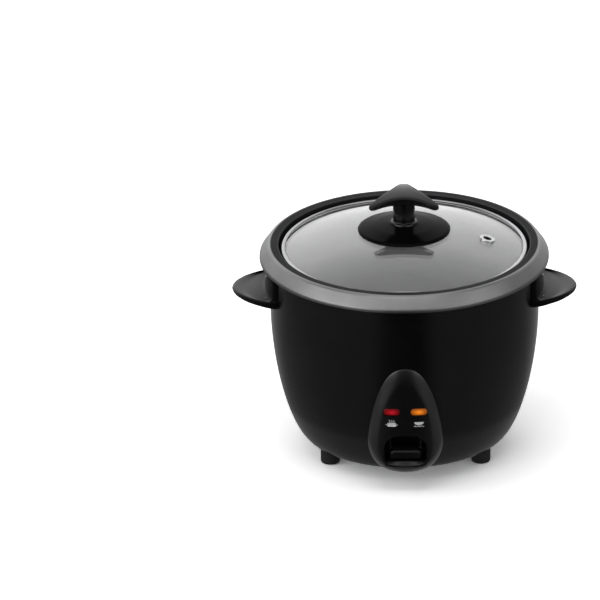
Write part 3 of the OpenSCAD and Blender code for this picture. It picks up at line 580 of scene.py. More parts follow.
def clear_glass(name, tint, rough=0.0, coat=0.0, veil=0.0):
    """Clear glass that lets the lamps light what is under it; veil is its share of haze."""
    s = Shader(name)
    s.set(Transmission_Weight=1.0 - veil, IOR=1.5, Coat_Weight=coat, Coat_Roughness=0.02,
          Base_Color=(*tint, 1), Roughness=s.spread(s.noise(22.0, 3.0), rough, rough + 0.012))
    clear = s.node("ShaderNodeBsdfTransparent", Color=(0.94, 0.95, 0.95, 1))
    path = s.node("ShaderNodeLightPath")
    both = s.blend_shaders(path.outputs["Is Shadow Ray"], s.surface, clear)
    s.link(both.outputs["Shader"], s.output.inputs["Surface"])
    return s.material


def lamp_lens(name, deep, bright, glow):
    """A lamp lens: tinted plastic, with a painted glow and a painted highlight towards its middle.
    """
    s = Shader(name)
    x, _, z = s.axes()
    side = s.math("DIVIDE", s.math("SUBTRACT", s.math("ABSOLUTE", x), LAMP_X * MM),
                  LAMP_LENGTH / 2 * MM)
    rise = s.math("DIVIDE", s.math("SUBTRACT", z, LAMP_Z * MM), LAMP_HEIGHT / 2 * MM)
    off = s.math("SQRT", s.math("ADD", s.times(side, side), s.times(rise, rise, 0.8)))
    # painted highlight and painted glow: colour and emission brighten towards the lens's middle
    middle = s.math("ADD", off, s.times(s.noise(700.0, 1.0, (3, 1, 0.4)), 0.35))
    colour = s.ramp(middle, [(0.15, bright), (1.0, deep)])
    s.set(Base_Color=colour, Emission_Color=colour, Roughness=0.20, Specular_IOR_Level=0.22,
          Emission_Strength=s.spread(s.math("SUBTRACT", 1.0, middle), glow * 0.25, glow))
    return s.material


def speckled(name, low, high, rough, grain=900.0, **values):
    """Sintered or moulded stuff with a visible grain in its colour."""
    s = Shader(name)
    grit = s.noise(grain, 4.0, roughness=0.7)
    s.set(Base_Color=s.ramp(grit, [(0.35, low), (0.68, high)]), Roughness=s.spread(grit, *rough),
          **values)
    s.bump(grit, 0.2)
    return s.material


MATERIALS = {
    "shell_paint": mottled("shell_paint", (0.0026, 0.0026, 0.0028), (0.0038, 0.0038, 0.0040),
                           (0.17, 0.22), 0.05, 2600.0, Specular_IOR_Level=0.5),
    "pot_metal": pot_finish(),
    "lid_glass": clear_glass("lid_glass", (0.985, 0.99, 0.99), 0.0, 1.0, 0.05),
    "lid_steel": turned_metal("lid_steel", (0.62, 0.62, 0.63), (0.72, 0.72, 0.73), (0.10, 0.20)),
    "rim_steel": turned_metal("rim_steel", (0.46, 0.46, 0.47), (0.56, 0.56, 0.57), (0.14, 0.24),
                              shade_band=(0.0784, 0.0798)),
    "black_plastic": mottled("black_plastic", (0.0042, 0.0042, 0.0045), (0.0060, 0.0060, 0.0064),
                             (0.22, 0.29), 0.10, 3400.0, Specular_IOR_Level=0.5),
    "gloss_black": mottled("gloss_black", (0.0040, 0.0040, 0.0043), (0.0060, 0.0060, 0.0064),
                           (0.12, 0.18), 0.03, 1800.0, Specular_IOR_Level=0.24),
    "disc_black": disc_black(),
    "handle_black": handle_black(),
    "grip_black": mottled("grip_black", (0.0030, 0.0030, 0.0033), (0.0045, 0.0045, 0.0049),
                          (0.20, 0.26), 0.03, 1800.0, Specular_IOR_Level=0.22),
    "housing_black": housing_black(),
    "foot_rubber": mottled("foot_rubber", (0.012, 0.012, 0.012), (0.020, 0.020, 0.020),
                           (0.62, 0.80), 0.25, 2200.0, Specular_IOR_Level=0.3),
    "cast_aluminium": turned_metal("cast_aluminium", (0.50, 0.50, 0.51), (0.62, 0.62, 0.63),
                                   (0.30, 0.48), 3.0),
    "sheet_steel": drawn_metal("sheet_steel", (0.42, 0.43, 0.45), (0.56, 0.57, 0.58), (0.28, 0.42)),
    "spring_steel": drawn_metal("spring_steel", (0.56, 0.56, 0.58), (0.68, 0.68, 0.70),
                                (0.16, 0.28)),
    "brass": drawn_metal("brass", (0.62, 0.44, 0.17), (0.74, 0.54, 0.24), (0.22, 0.34)),
    "magnet_iron": speckled("magnet_iron", (0.035, 0.035, 0.038), (0.075, 0.075, 0.08),
                            (0.45, 0.65), Metallic=0.4),
    "red_lens": lamp_lens("red_lens", (0.12, 0.002, 0.004), (0.40, 0.006, 0.014), 0.70),
    "amber_lens": lamp_lens("amber_lens", (0.32, 0.075, 0.005), (0.80, 0.22, 0.012), 0.75),
    "neon_glass": clear_glass("neon_glass", (0.96, 0.80, 0.70), 0.02),
    "circuit_board": speckled("circuit_board", (0.015, 0.060, 0.025), (0.030, 0.095, 0.040),
                              (0.35, 0.50), 300.0),
    "plunger_red": speckled("plunger_red", (0.40, 0.020, 0.015), (0.50, 0.035, 0.025),
                            (0.35, 0.45)),
    "silicone": mottled("silicone", (0.05, 0.05, 0.052), (0.075, 0.075, 0.078), (0.45, 0.60),
                        0.12, 1800.0),
    "fuse_white": speckled("fuse_white", (0.66, 0.65, 0.61), (0.76, 0.75, 0.71), (0.30, 0.42)),
    "wire_sleeve": speckled("wire_sleeve", (0.36, 0.030, 0.022), (0.46, 0.050, 0.035),
                            (0.42, 0.55), 500.0),
}


PRINT_INK = mottled("print_ink", (0.52, 0.52, 0.52), (0.62, 0.62, 0.62), (0.45, 0.6), 0.05,
                    1500.0)


def dress(obj, slot, body, *nodes, finish=None):
    """Gives a new piece the material of its finish, or else of its slot, puts it on its body, and
    hides the CAD nodes it stands for.
    """
    obj.data.materials.clear()
    obj.data.materials.append(MATERIALS[finish or slot])
    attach(obj, body)
    if nodes:
        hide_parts(*nodes)
    return obj


# ---- the drum ----


def drum_shell():
    """The painted sheet shell: curved side, rolled top edge, inward lip at the bottom."""
    low, high = SHELL_LOW[2], SHELL_HIGH[2]
    steps = 40
    heights = [low + (SHELL_TAPER_Z - low) * (i / steps) ** 2 for i in range(steps + 1)]
    side = [(drum_radius(z), z) for z in heights]
    inner = []
    for i, (r, z) in enumerate(side):
        r2, z2 = side[min(i + 1, steps)]
        r1, z1 = side[max(i - 1, 0)]
        along = math.hypot(r2 - r1, z2 - z1)
        inner.append((r - SHEET * (z2 - z1) / along, z + SHEET * (r2 - r1) / along))
    lip_r = SHELL_BASE_R - 11.0
    top = arc(SHELL_R - SHEET / 2, high - SHEET / 2, SHEET / 2, 0, 180, 6)
    outline = [(lip_r, low)] + side + top + list(reversed(inner)) + [(lip_r, low + SHEET)]
    shell = lathe("drum_shell", outline)
    key_window = rectangle(-15.2, 24.0, 15.2, 45.6)
    lamp_window = rectangle(-18.0, 53.0, 18.0, 70.0)
    inlet_window = rectangle(-14.6, 15.1, 14.6, 36.9)
    cutters = [prism("cut", window, 60.0, 120.0, forward) for window in (key_window, lamp_window)]
    cutters.append(prism("cut", inlet_window, -120.0, -50.0, forward))
    carve(shell, cutters)
    resharpen(shell)
    return dress(shell, "shell_paint", "base", "outer_shell")


def foot(node):
    """A rubber foot with a recess for its screw."""
    low, high = node_box(node)
    cx, cy = (low[0] + high[0]) / 2, (low[1] + high[1]) / 2
    r = (high[0] - low[0]) / 2
    top = high[2]
    outline = rounded([(3.5, 0, 0.5), (r - 0.5, 0, 1.2), (r, 1.5, 1.0), (r, top, 0),
                       (1.5, top, 0), (1.5, 5.0, 0), (3.5, 5.0, 0.4)])
    made = lathe(node + "_pad", outline, 72, lambda p: p + Vector((cx, cy, 0)))
    return dress(made, "foot_rubber", "base", node)


# ---- the handles ----


def handle_edge(y):
    """Distance from the drum's axis of a handle's outer edge at distance y from its middle."""
    half = HANDLE_HIGH[1]
    t = min(1.0, abs(y) / half)
    reach = HANDLE_HIGH[0] - HANDLE_ROOT
    return HANDLE_ROOT + reach * (1 - t ** 2) ** (1 / 1.5)


def handle_section(y):
    """Closed section of a handle at distance y from its middle, as (outward, height) points."""
    inner_r = SHELL_R + 0.1
    plate_r = inner_r + 2.4
    corner = 6.0
    low = HANDLE_LOW[2]
    top = HANDLE_HIGH[2]
    half = HANDLE_HIGH[1]
    lip_z = low + 4.5
    dish_z = low + 3.3
    over = max(0.0, abs(y) - (half - corner))
    top -= corner - math.sqrt(max(0.0, corner ** 2 - over ** 2))
    inner = math.sqrt(inner_r ** 2 - y * y)
    # the plate thins away at its two ends
    end = max(0.0, min(1.0, (half - abs(y)) / 2.2))
    plate = inner + (plate_r - inner_r) * math.sqrt(1 - (1 - end) ** 2) + 0.02
    edge = max(handle_edge(y), plate + 0.02)
    room = edge - plate
    share = min(1.0, room / 12.0)
    cove = min(3.6, room * 0.5)
    floor = lip_z + (dish_z - lip_z) * share
    rise = min(cove, top - floor - 1.0)
    points = [(inner, low + 0.3), (inner, top - 0.4)]
    points += arc(plate - 0.9 * end, top - 0.9, 0.9 * end + 1e-3, 100, 0, 5)
    points += [(plate, floor + rise + (top - 0.9 - floor - rise) * t) for t in (0.75, 0.5, 0.25)]
    for k in range(10):
        a = math.radians(90 * k / 9)
        points.append((plate + cove * (1 - math.cos(a)), floor + rise * (1 - math.sin(a))))
    # a shallow dish that swells into the lip, then an edge round from top to underside
    nose = min(2.0, room * 0.3)
    tuck = min(3.2, room * 0.3)
    start, crest = plate + cove, edge - nose
    for k in range(1, 15):
        t = k / 14
        swell = soft_step((t - 0.45) / 0.55)
        points.append((start + (crest - start) * t, floor + (lip_z - floor) * swell))
    # the edge is widest just under the lip and tucks in below
    widest = lip_z - 1.3
    points += [(crest + nose * math.sin(math.radians(a)),
                widest + 1.3 * math.cos(math.radians(a))) for a in (18, 36, 54, 72, 90, 104)]
    points += [(edge - tuck * t ** 1.3, widest - 0.4 - (widest - 0.4 - low) * t ** 0.8)
               for t in (0.25, 0.5, 0.75, 0.92, 1.0)]
    foot_x = edge - tuck
    points += [(inner + (foot_x - inner) * t, low) for t in (0.75, 0.5, 0.25)]
    return points


def handle(sign, name, node):
    """A side handle: a curved plate on the drum and a dished wing with a raised lip."""
    half = HANDLE_HIGH[1] - 0.05
    steps = 72
    loops = []
    for i in range(steps + 1):
        y = -half * math.cos(math.pi * i / steps)
        loops.append([(sign * x, y, z) for x, z in handle_section(y)])
    made = solid(name, loops, 40.0)
    holes = [prism("cut", arc(y, HANDLE_LOW[2] + 2.2, 1.5, 0, 345, 23), 80.0 * sign, 93.4 * sign,
                   sideways) for y in (-18.0, 18.0)]
    carve(made, holes)
    resharpen(made, 40.0)
    return dress(made, "black_plastic", "base", node, finish="handle_black")


# ---- the control housing ----


def recess_outline(grow):
    """Outline of the key's recess: tight corners below, a thumb's arch above."""
    half, low, high = RECESS_HALF + grow, RECESS_LOW - grow, RECESS_HIGH + grow
    tight, arch = 3.5, 11.5
    corners = [(half, low, tight + grow), (half, high, arch + grow),
               (-half, high, arch + grow), (-half, low, tight + grow)]
    bottom = [((RECESS_HALF - tight) * (k / 6 - 1), low, 0) for k in range(1, 12)]
    return rounded(corners + bottom, 10)


def recess_cut():
    """The recess as a cutter: it flares to a soft edge, with a scooped lip below."""
    front = PANEL_FRONT_R
    scoop_half, scoop_top = 15.5, 31.0
    loops = []
    # growth of the outline, dip of its lower edge, and distance from the drum's axis
    for grow, dip, r in ((0.0, 0.0, 60.0), (0.0, 0.0, front - 3.6), (0.0, 0.4, front - 3.0),
                         (0.0, 1.2, front - 2.3), (0.0, 2.0, front - 1.7), (0.02, 2.8, front - 1.0),
                         (0.08, 3.4, front - 0.5), (0.3, 4.0, front - 0.12), (0.6, 4.3, front + 0.4),
                         (0.6, 4.3, front + 9.0)):
        loop = []
        for x, z in recess_outline(grow):
            share = max(0.0, 1 - (x / scoop_half) ** 2) if z < scoop_top else 0.0
            z -= max(0.0, dip - grow) * share
            loop.append(on_front(x, z, r))
        loops.append(loop)
    return solid("cut", loops)


def lamp_outline(sign, grow):
    """Outline of the left (-1) or right (1) lamp's window, grown by grow all round."""
    half_l = LAMP_LENGTH / 2 + grow
    half_h = LAMP_HEIGHT / 2 + grow
    cx = sign * LAMP_X
    return rounded([(cx + half_l, LAMP_Z - half_h, half_h), (cx + half_l, LAMP_Z + half_h, half_h),
                    (cx - half_l, LAMP_Z + half_h, half_h), (cx - half_l, LAMP_Z - half_h, half_h)],
                   10)


def panel_ring(inset):
    """One ring of the housing's skin, drawn in by inset and set back by the shoulder's round."""
    points = []
    for x, z in egg(inset):
        away = max(0.0, 1 - inset / shoulder_width(z))
        depth = 0.8 * away ** 2 + 0.2 * (1 - math.sqrt(1 - away ** 2))
        r = panel_front(z) - depth * panel_depth(z)
        points.append((x, -math.sqrt(max(1.0, r * r - x * x)), z))
    return points


def panel_depth(z):
    """How far the rounded shoulder falls back at height z, less where the drum is close."""
    proud = panel_front(z) - drum_radius(z)
    return min(5.4, max(1.3, proud * 0.88))


def shoulder_width(z):
    """How far the housing's rounded shoulder reaches in from its edge at height z."""
    return 7.0 + 4.5 * soft_step((z - 58.0) / 26.0)


def control_housing():
    """The egg-shaped moulding: soft shoulders, lamp windows and the key's recess."""
    loops = []
    # side walls, from the drum out to the rounded shoulder
    outline = egg(0.0)
    front_edge = panel_ring(0.0)
    back = []
    for (x, z), (_, y, _) in zip(outline, front_edge):
        r = min(drum_radius(z) + 0.1, math.hypot(x, y) - 0.05)
        back.append(on_front(x, z, r))
    loops.append(back)
    for t in (0.35, 0.7):
        loops.append([tuple(b + (f - b) * t for b, f in zip(pb, pf))
                      for pb, pf in zip(back, front_edge)])
    steps = 20
    shoulder = 11.5
    loops += [panel_ring(shoulder * (k / steps) ** 1.5) for k in range(steps + 1)]
    loops += [panel_ring(inset) for inset in (13.0, 15.0, 17.0, 20.0, 23.0)]
    bm = bmesh.new()
    rows = skin_loops(bm, loops)
    bm.faces.new(rows[-1])
    made = finish_mesh("panel_cover", bm, 50.0)
    thick = made.modifiers.new("wall", "SOLIDIFY")
    thick.thickness = PANEL_WALL * MM
    thick.offset = -1
    thick.use_even_offset = False
    apply_modifiers(made)
    # sleeve round the recess, from the drum's window to the front
    sleeve = prism("sleeve", recess_outline(1.5), 80.5, 90.6, forward)
    carve(made, [sleeve], "UNION")
    cutters = [recess_cut()]
    cutters += [prism("cut", lamp_outline(s, 0.0), 80.0, 120.0, forward) for s in (-1, 1)]
    carve(made, cutters)
    resharpen(made, 40.0)
    return dress(made, "black_plastic", "base", "control_housing", finish="housing_black")


def lens(sign, node, slot):
    """A lamp lens: a rounded bar with a softly domed face."""
    loops = []
    for grow, r in ((0.9, 87.7), (0.9, 89.3), (-0.3, 89.35), (-0.3, PANEL_FRONT_R - 0.45),
                    (-0.45, PANEL_FRONT_R - 0.2), (-0.8, PANEL_FRONT_R),
                    (-1.3, PANEL_FRONT_R + 0.12), (-2.0, PANEL_FRONT_R + 0.18)):
        loops.append([on_front(x, z, r) for x, z in lamp_outline(sign, grow)])
    return dress(solid(node + "_dome", loops, 40.0), slot, "base", node)


def print_piece(name, shapes):
    """A printed sign on the housing's front: closed outlines in X and Z, a film of ink thick."""
    under, over = PANEL_FRONT_R - 0.08, PANEL_FRONT_R + 0.04
    bm = bmesh.new()
    for shape in shapes:
        skin_and_cap(bm, [[(x, -w, z) for x, z in shape] for w in (1.0, 2.0)])
    # upright cuts let the film bend round the front
    pitch = 0.75
    for k in range(-19, 20):
        bmesh.ops.bisect_plane(bm, geom=bm.verts[:] + bm.edges[:] + bm.faces[:], dist=1e-7,
                               plane_co=(k * pitch * MM, 0, 0), plane_no=(1, 0, 0))
    for v in bm.verts:
        r = (over if v.co.y < -1.5 * MM else under) * MM
        v.co.y = -math.sqrt(r * r - v.co.x ** 2)
    obj = finish_mesh(name, bm)
    obj.data.materials.append(PRINT_INK)
    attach(obj, "base")
    return obj


def band(points, width):
    """The outline of a line of even width drawn through points."""
    left, right = [], []
    for i, (x, z) in enumerate(points):
        x1, z1 = points[max(i - 1, 0)]
        x2, z2 = points[min(i + 1, len(points) - 1)]
        along = math.hypot(x2 - x1, z2 - z1)
        nx, nz = -(z2 - z1) / along * width / 2, (x2 - x1) / along * width / 2
        left.append((x + nx, z + nz))
        right.append((x - nx, z - nz))
    return left + right[::-1]


def bowl_shape(cx, cz, w, h):
    """A bowl seen from the side: a flat brim over a half-round body on a small foot."""
    half = w / 2
    body = [(cx + half * math.cos(math.radians(a)), cz + h * 0.98 * math.sin(math.radians(a)) + h)
            for a in range(0, -181, -12)]
    return [body, rectangle(cx - half * 0.36, cz, cx + half * 0.36, cz + 0.35)]


def steam(cx, cz, height):
    """A rising S-shaped wisp."""
    return band([(cx + 0.28 * math.sin(2 * math.pi * t / 8), cz + height * t / 8)
                 for t in range(9)], 0.34)


def cook_sign():
    """A covered pot with steam rising from it, under the left lamp."""
    cx, base = -LAMP_X, 51.6
    pot = rounded([(cx - 2.9, base, 0.7), (cx + 2.9, base, 0.7), (cx + 2.9, base + 1.9, 0.1),
                   (cx - 2.9, base + 1.9, 0.1)], 4)
    lid = [(cx + 3.1 * math.cos(math.radians(a)), base + 2.15 + 0.8 * math.sin(math.radians(a)))
           for a in range(0, 181, 15)]
    grips = [rectangle(cx + s * 3.1, base + 1.1, cx + s * 4.1, base + 1.5) for s in (-1, 1)]
    return print_piece("cook_sign", [pot, lid, *grips] +
                       [steam(cx + x, base + 3.3, 1.4) for x in (-1.5, 0.0, 1.5)])


def warm_sign():
    """A bowl over a gentle wave of warmth, under the right lamp."""
    cx, base = LAMP_X, 52.6
    wave = band([(cx - 3.4 + 6.8 * t / 24, base - 0.85 + 0.28 * math.sin(2 * math.pi * t / 8))
                 for t in range(25)], 0.36)
    return print_piece("warm_sign", bowl_shape(cx, base, 6.4, 2.2) + [wave])


def cook_key():
    """The tilting key: a rounded bar with a rounded front edge, on its stem."""
    half = KEY_HIGH[0]
    low, high = KEY_LOW[2], KEY_HIGH[2]
    front = -KEY_LOW[1]

    def outline(inset):
        """The key's outline, drawn in by inset and less so at its foot."""
        corner = max(0.3, 2.4 - inset)
        foot = low + inset * 0.25
        return rounded([(half - inset, foot, 0.6), (half - inset, high - inset, corner),
                        (inset - half, high - inset, corner), (inset - half, foot, 0.6)], 6)

    nose = 2.3
    back = 84.6
    loops = [[(x, -back, z) for x, z in outline(0.0)]]
    for k in range(10):
        a = math.radians(90 * k / 9)
        loops.append([(x, nose * (1 - math.sin(a)) - front, z)
                      for x, z in outline(nose * (1 - math.cos(a)))])
    bar = solid("key_bar", loops, 60.0)
    stem = prism("stem", rectangle(-8.2, 28.2, 8.2, 31.8), 79.0, 85.2, forward)
    carve(bar, [stem], "UNION")
    lever_slot = prism("cut", rectangle(-7.0, 29.4, 7.0, 30.6), 60.0, 85.0, forward)
    carve(bar, [lever_slot])
    resharpen(bar, 60.0)
    return dress(bar, "gloss_black", "lever", "cook_key")


# ---- pot and lid ----


def inner_pot():
    """The drawn pot: flat bottom, lid ledge, non-stick crest and a satin outer rim."""
    inner = POT_R - POT_WALL
    low = POT_LOW[2]
    step = 84.3
    edge_z = CREST_Z - 8.4
    lip_z = edge_z - 1.9
    outline = rounded([
        (0.0, low, 0), (POT_R, low, 12.0), (POT_R, LEDGE_Z - 1.1, 0.6),
        (step + POT_WALL, LEDGE_Z - 1.1, 0.6), (step + POT_WALL, CREST_Z - POT_WALL, 0.5),
        (89.9, CREST_Z - POT_WALL, 0.5), (FLANGE_R - POT_WALL - 0.1, edge_z - 0.5, 0.8),
        (FLANGE_R - POT_WALL, lip_z, 0.5), (FLANGE_R, lip_z, 0.55),
        (FLANGE_R, edge_z + 0.5, 3.0), (91.2, CREST_Z, 3.2), (step, CREST_Z, 0.9),
        (step, LEDGE_Z, 0.5), (inner, LEDGE_Z, 1.0), (inner, low + POT_WALL, 10.8),
        (0.0, low + POT_WALL, 0)], 8)
    made = lathe("pot_turned", outline, crease=50.0)
    return dress(made, "pot_metal", "pot", "inner_pot", "pot_rim")


def lid_glass():
    """The glass dome with its ground edge, knob hole and vent hole."""
    edge = GLASS_HIGH[0]
    hole = 3.2
    steps = 36
    xs = [hole + (edge - hole) * i / steps for i in range(steps + 1)]
    top = [(x, dome_height(x)) for x in xs]
    bottom = [(x, dome_height(x, GLASS_T)) for x in xs]
    glass = lathe("glass_dome", top + list(reversed(bottom)))
    vent = lathe_on_dome("cut", rectangle(0.0, -12.0, VENT_HOLE_R, 12.0), 48)
    carve(glass, [vent])
    resharpen(glass)
    return dress(glass, "lid_glass", "lid", "lid_glass")


def lathe_on_dome(name, outline, turns):
    """A turned piece whose axis stands square to the glass at the vent."""
    tilt = math.asin(VENT_X / DOME_R)
    turn = math.radians(VENT_TURN)

    def place(p):
        out = p.z + DOME_R
        x = p.x * math.cos(tilt) + out * math.sin(tilt)
        z = out * math.cos(tilt) - p.x * math.sin(tilt) + DOME_Z - DOME_R
        return Vector((x * math.cos(turn) - p.y * math.sin(turn),
                       x * math.sin(turn) + p.y * math.cos(turn), z))
    return lathe(name, outline, turns, place)


def vent_grommet():
    """The vent's ring: a flange on the glass and a collar through it, closed by a lip below."""
    flange = 5.25
    outline = rounded([(2.7, -GLASS_T - 1.0, 0.3), (flange - 0.8, -GLASS_T - 1.0, 0.4),
                       (flange - 0.8, -GLASS_T - 0.1, 0), (VENT_HOLE_R, -GLASS_T - 0.1, 0),
                       (VENT_HOLE_R, 0.08, 0), (flange, 0.08, 0.2), (flange, 1.2, 0.9),
                       (2.7, 1.2, 0.6)])
    made = lathe_on_dome("grommet_ring", outline, 72)
    return dress(made, "lid_steel", "lid", "vent_grommet")


def lid_rim():
    """The rolled steel band that holds the glass: a round bead over a short skirt."""
    edge = GLASS_HIGH[0]
    inner = RIM_R - 3.4
    bead = 1.7
    low = dome_height(edge, GLASS_T) - 0.05
    high = dome_height(inner) + 0.02
    outline = [(inner, high), (inner, high + 0.15)]
    outline += arc(RIM_R - bead, high + 0.7 - bead, bead, 130, 0, 20)
    outline += arc(RIM_R - 0.6, low + 0.1, 0.6, 0, -90, 6)
    outline += [(inner + 0.2, low - 0.5), (inner, low - 0.3), (inner, low), (edge + 0.1, low),
                (edge + 0.1, high)]
    return dress(lathe("rim_band", outline, crease=45.0), "lid_steel", "lid", "lid_rim",
                 finish="rim_steel")


def knob_base():
    """The knob's disc: thin rounded edge, low dome, a small ring at the foot of the post."""
    r = KNOB_HIGH[0]
    post = 7.4
    foot = DOME_Z + 3.0
    rim_z = dome_height(r) + 0.5
    top = KNOB_HIGH[2]
    outline = rounded([
        (SCREW_HOLE_R, DOME_Z, 0), (8.0, DOME_Z - 0.08, 0), (9.0, dome_height(9.0) + 0.4, 0),
        (r - 5.0, dome_height(r - 5.0) + 0.4, 0), (r - 3.0, dome_height(r - 3.0) + 0.05, 0),
        (r - 0.4, dome_height(r - 0.4) + 0.05, 0), (r, rim_z - 0.35, 0.25),
        (r, rim_z + 0.15, 0.5), (r - 1.7, rim_z + 1.0, 1.4), (r - 12.0, rim_z + 3.1, 40.0),
        (post + 3.0, foot - 0.5, 2.0), (post + 1.6, foot - 0.2, 0.5),
        (post + 1.25, foot + 1.1, 0.6), (post, foot + 1.6, 0.7), (post, top, 0.3), (PLUG_R, top, 0),
        (PLUG_R, PLUG_Z, 0), (SCREW_HOLE_R, PLUG_Z, 0)], 8)
    return dress(lathe("knob_disc", outline, 160, crease=45.0), "gloss_black", "lid", "knob_base",
                 finish="disc_black")


def grip_radius(angle, inset):
    """Reach of the grip's outline at an angle, drawn in by inset: round tips, concave sides."""
    reach, tip_r, waist = 23.0, 3.5, 11.0
    tip = tip_r - inset
    span = (reach ** 2 - (waist - tip_r) ** 2) / (reach - 2 * (waist - tip_r))
    side = span - waist + inset
    # fold the angle into half of one lobe: 0 at a tip, 60 degrees at the middle of a side
    a = (angle + math.pi / 6) % (2 * math.pi / 3)
    a = min(a, 2 * math.pi / 3 - a)
    # reach of the tip's circle along this ray, and of the side's circle
    off = reach * math.sin(a)
    touch = math.atan2(span * math.sin(math.pi / 3), span * math.cos(math.pi / 3) - reach)
    meet = Vector((reach + tip * math.cos(touch), tip * math.sin(touch)))
    if a <= math.atan2(meet.y, meet.x):
        return reach * math.cos(a) + math.sqrt(max(0.0, tip ** 2 - off ** 2))
    b = math.pi / 3 - a
    across = span * math.sin(b)
    return span * math.cos(b) - math.sqrt(max(0.0, side ** 2 - across ** 2))


def knob_grip():
    """The three-lobed grip: a curved plate with drooping round tips and soft edges."""
    count = 240
    middle_z = GRIP_HIGH[2] - GRIP_SPHERE_R
    soft = 1.3

    def ring(inset, share, sink, lower):
        """Points on the upper or lower face, share of the way out, sunk by the edge's rounding."""
        points = []
        for k in range(count):
            a = 2 * math.pi * k / count
            r = grip_radius(a, inset) * share
            if lower:
                z = GRIP_UNDER_Z + sink - GRIP_UNDER_R + math.sqrt(GRIP_UNDER_R ** 2 - r * r)
            else:
                z = middle_z + math.sqrt((GRIP_SPHERE_R - sink) ** 2 - r * r)
            points.append((r * math.cos(a), r * math.sin(a), z))
        return points

    loops = [ring(soft, t, 0.0, False) for t in (0.02, 0.2, 0.4, 0.6, 0.8)]
    steps = 7
    for k in range(steps + 1):
        a = math.radians(90 * k / steps)
        loops.append(ring(soft * (1 - math.sin(a)), 1.0, soft * (1 - math.cos(a)), False))
    for k in range(1, steps + 1):
        a = math.radians(90 * k / steps)
        loops.append(ring(soft * (1 - math.cos(a)), 1.0, soft * (1 - math.sin(a)), True))
    loops += [ring(soft, t, 0.0, True) for t in (0.8, 0.6, 0.4, 0.2, 0.02)]
    made = solid("grip_star", loops, 60.0)
    plug = lathe("plug", rectangle(SCREW_HOLE_R, PLUG_Z, PLUG_R, GRIP_HIGH[2] - 2.5), 64)
    carve(made, [plug], "UNION")
    resharpen(made, 50.0)
    return dress(made, "gloss_black", "lid", "knob_grip", finish="grip_black")


# ---- camera, light and floor ----

PHOTO_SIZE = 600.0
SENSOR = 36.0
CAMERA_DISTANCE = 10.0
CAMERA_TILT = 23.5
PIXELS_PER_MM = 1.489
AXIS_X_PIXEL = 404.8
TARGET_Y_PIXEL = 339.9
TARGET_Z = 0.075
CAMERA_ROLL = 0.4


def add_camera():
    """A long lens at the photograph's viewing angle, shifted so that the object stands right."""
    data = bpy.data.cameras.new("camera")
    camera = add_object("camera", data)
    tilt = math.radians(CAMERA_TILT)
    target = Vector((0, 0, TARGET_Z))
    camera.location = target + CAMERA_DISTANCE * Vector((0, -math.cos(tilt), math.sin(tilt)))
    camera.rotation_mode = "QUATERNION"
    look = (target - camera.location).to_track_quat("-Z", "Y")
    camera.rotation_quaternion = look @ Quaternion((0, 0, 1), math.radians(-CAMERA_ROLL))
    data.sensor_width = SENSOR
    data.lens = PIXELS_PER_MM / MM * CAMERA_DISTANCE * SENSOR / PHOTO_SIZE
    data.shift_x = -(AXIS_X_PIXEL - PHOTO_SIZE / 2) / PHOTO_SIZE
    data.shift_y = (TARGET_Y_PIXEL - PHOTO_SIZE / 2) / PHOTO_SIZE
    data.clip_end = 3 * CAMERA_DISTANCE
    bpy.context.scene.camera = camera


def area_light(name, place, size, power):
    """A rectangular lamp that faces the object."""
    data = bpy.data.lights.new(name, "AREA")
    data.shape = "RECTANGLE"
    data.size, data.size_y = size
    data.energy = power
    lamp = add_object(name, data)
    lamp.location = place
    aim = Vector((0, 0, 0.09)) - Vector(place)
    lamp.rotation_euler = aim.to_track_quat("-Z", "Y").to_euler()


def add_lights():
    """Three soft panels and a strip over the front."""
    area_light("panel_left", (-1.9, -0.9, 1.5), (1.8, 1.8), 9)
    area_light("panel_right", (1.9, -0.9, 1.7), (1.4, 1.4), 4)
    area_light("panel_top", (0.0, 0.1, 2.2), (1.6, 1.6), 6)
    area_light("strip_front", (0.0, -1.0, 1.9), (1.5, 0.3), 5.0)


def studio_level(nodes, direction, stops):
    """Brightness along the compass, as grey stops [(degrees from the front, value), ...]."""
    split = nodes.node("ShaderNodeSeparateXYZ")
    nodes.link(direction, split.inputs["Vector"])
    x, y, z = split.outputs
    turn = nodes.math("ABSOLUTE", nodes.math("ARCTAN2", x, nodes.times(y, -1.0)))
    level = nodes.ramp(nodes.math("DIVIDE", turn, math.pi), [(a / 180, v) for a, v in stops])
    return level, x, z


FLOOR_STOPS = [(0, 0.0), (13, 0.005), (25, 0.12), (110, 0.15), (140, 0.30), (158, 0.80),
               (172, 1.0)]
LOW_STOPS = [(0, 0.03), (16, 0.06), (30, 1.5), (66, 1.4), (86, 0.34), (116, 0.44), (140, 0.75),
             (165, 1.0)]
HIGH_STOPS = [(0, 0.66), (60, 0.50), (116, 0.62), (150, 1.10), (170, 1.25)]
LOW_SINE = 0.09
HIGH_SINE = 0.62
LEFT_LIFT = -0.36
ZENITH_SINE = (0.56, 0.86)
ZENITH_SHARE = 0.22
NEAR_RANGE = (0.116, 0.098)
NEAR_LEVEL = 0.22


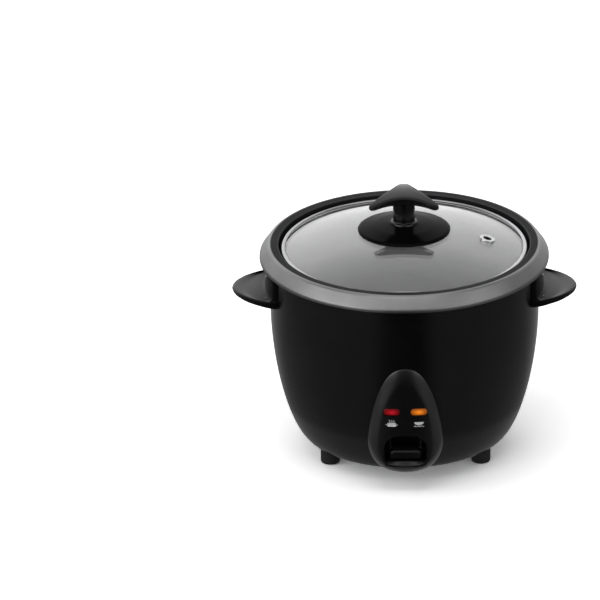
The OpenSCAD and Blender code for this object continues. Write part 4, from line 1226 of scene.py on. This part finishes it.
def add_world():
    """White behind the object for the camera and glass; a soft, uneven studio elsewhere."""
    world = bpy.data.worlds.new("studio")
    bpy.context.scene.world = world
    world.use_nodes = True
    world.node_tree.nodes.clear()
    nodes = Nodes(world.node_tree)
    direction = nodes.node("ShaderNodeTexCoord").outputs["Generated"]
    low, x, z = studio_level(nodes, direction, LOW_STOPS)
    high, _, _ = studio_level(nodes, direction, HIGH_STOPS)
    rise = nodes.spread(z, 0.0, 1.0, LOW_SINE, HIGH_SINE)
    zenith = nodes.spread(z, 1.0, ZENITH_SHARE, *ZENITH_SINE)
    side = nodes.math("ADD", nodes.times(x, LEFT_LIFT), 1.0)
    room = nodes.node("ShaderNodeBackground")
    nodes.link(nodes.blend(rise, low, high), room.inputs["Color"])
    nodes.link(nodes.times(side, zenith), room.inputs["Strength"])
    white = nodes.node("ShaderNodeBackground", Color=(1, 1, 1, 1))
    path = nodes.node("ShaderNodeLightPath")
    seen = nodes.math("MAXIMUM", path.outputs["Is Camera Ray"],
                      path.outputs["Is Transmission Ray"])
    both = nodes.blend_shaders(seen, room, white)
    output = nodes.node("ShaderNodeOutputWorld")
    nodes.link(both.outputs["Shader"], output.inputs["Surface"])


def add_floor():
    """A white floor: bright for the camera, with flags round the object for reflections."""
    bm = bmesh.new()
    bmesh.ops.create_grid(bm, x_segments=1, y_segments=1, size=12)
    mesh = bpy.data.meshes.new("floor")
    bm.to_mesh(mesh)
    bm.free()
    floor = add_object("floor", mesh)
    s = Shader("floor_white")
    s.set(Roughness=0.9, Specular_IOR_Level=0.0, Base_Color=(0.92, 0.92, 0.92, 1))
    lit = s.node("ShaderNodeBsdfDiffuse", Color=(2.0, 2.0, 2.0, 1))
    path = s.node("ShaderNodeLightPath")
    seen = s.blend_shaders(path.outputs["Is Camera Ray"], s.surface, lit)
    level, _, _ = studio_level(s, s.position, FLOOR_STOPS)
    # close to the object its low edges mirror the bright floor
    near = s.spread(s.radius(), 0.0, NEAR_LEVEL, *NEAR_RANGE)
    flag = s.node("ShaderNodeEmission")
    s.link(s.math("MAXIMUM", level, near), flag.inputs["Color"])
    both = s.blend_shaders(path.outputs["Is Glossy Ray"], seen, flag)
    s.link(both.outputs["Shader"], s.output.inputs["Surface"])
    mesh.materials.append(s.material)


# ---- build ----

for node, obj in frame["nodes"].items():
    slot = next(p["material_slot"] for p in frame["record"]["subparts"] if p["node"] == node)
    obj.data.materials.clear()
    obj.data.materials.append(MATERIALS[slot])

drum_shell()
for corner in ("foot_front_left", "foot_front_right", "foot_rear_left", "foot_rear_right"):
    foot(corner)
handle(-1, "handle_left_wing", "handle_left")
handle(1, "handle_right_wing", "handle_right")
control_housing()
lens(-1, "cook_lamp_lens", "red_lens")
lens(1, "warm_lamp_lens", "amber_lens")
cook_sign()
warm_sign()
cook_key()
inner_pot()
lid_glass()
lid_rim()
vent_grommet()
knob_base()
knob_grip()

add_camera()
add_lights()
add_world()
add_floor()
bpy.context.scene.view_settings.view_transform = "Standard"
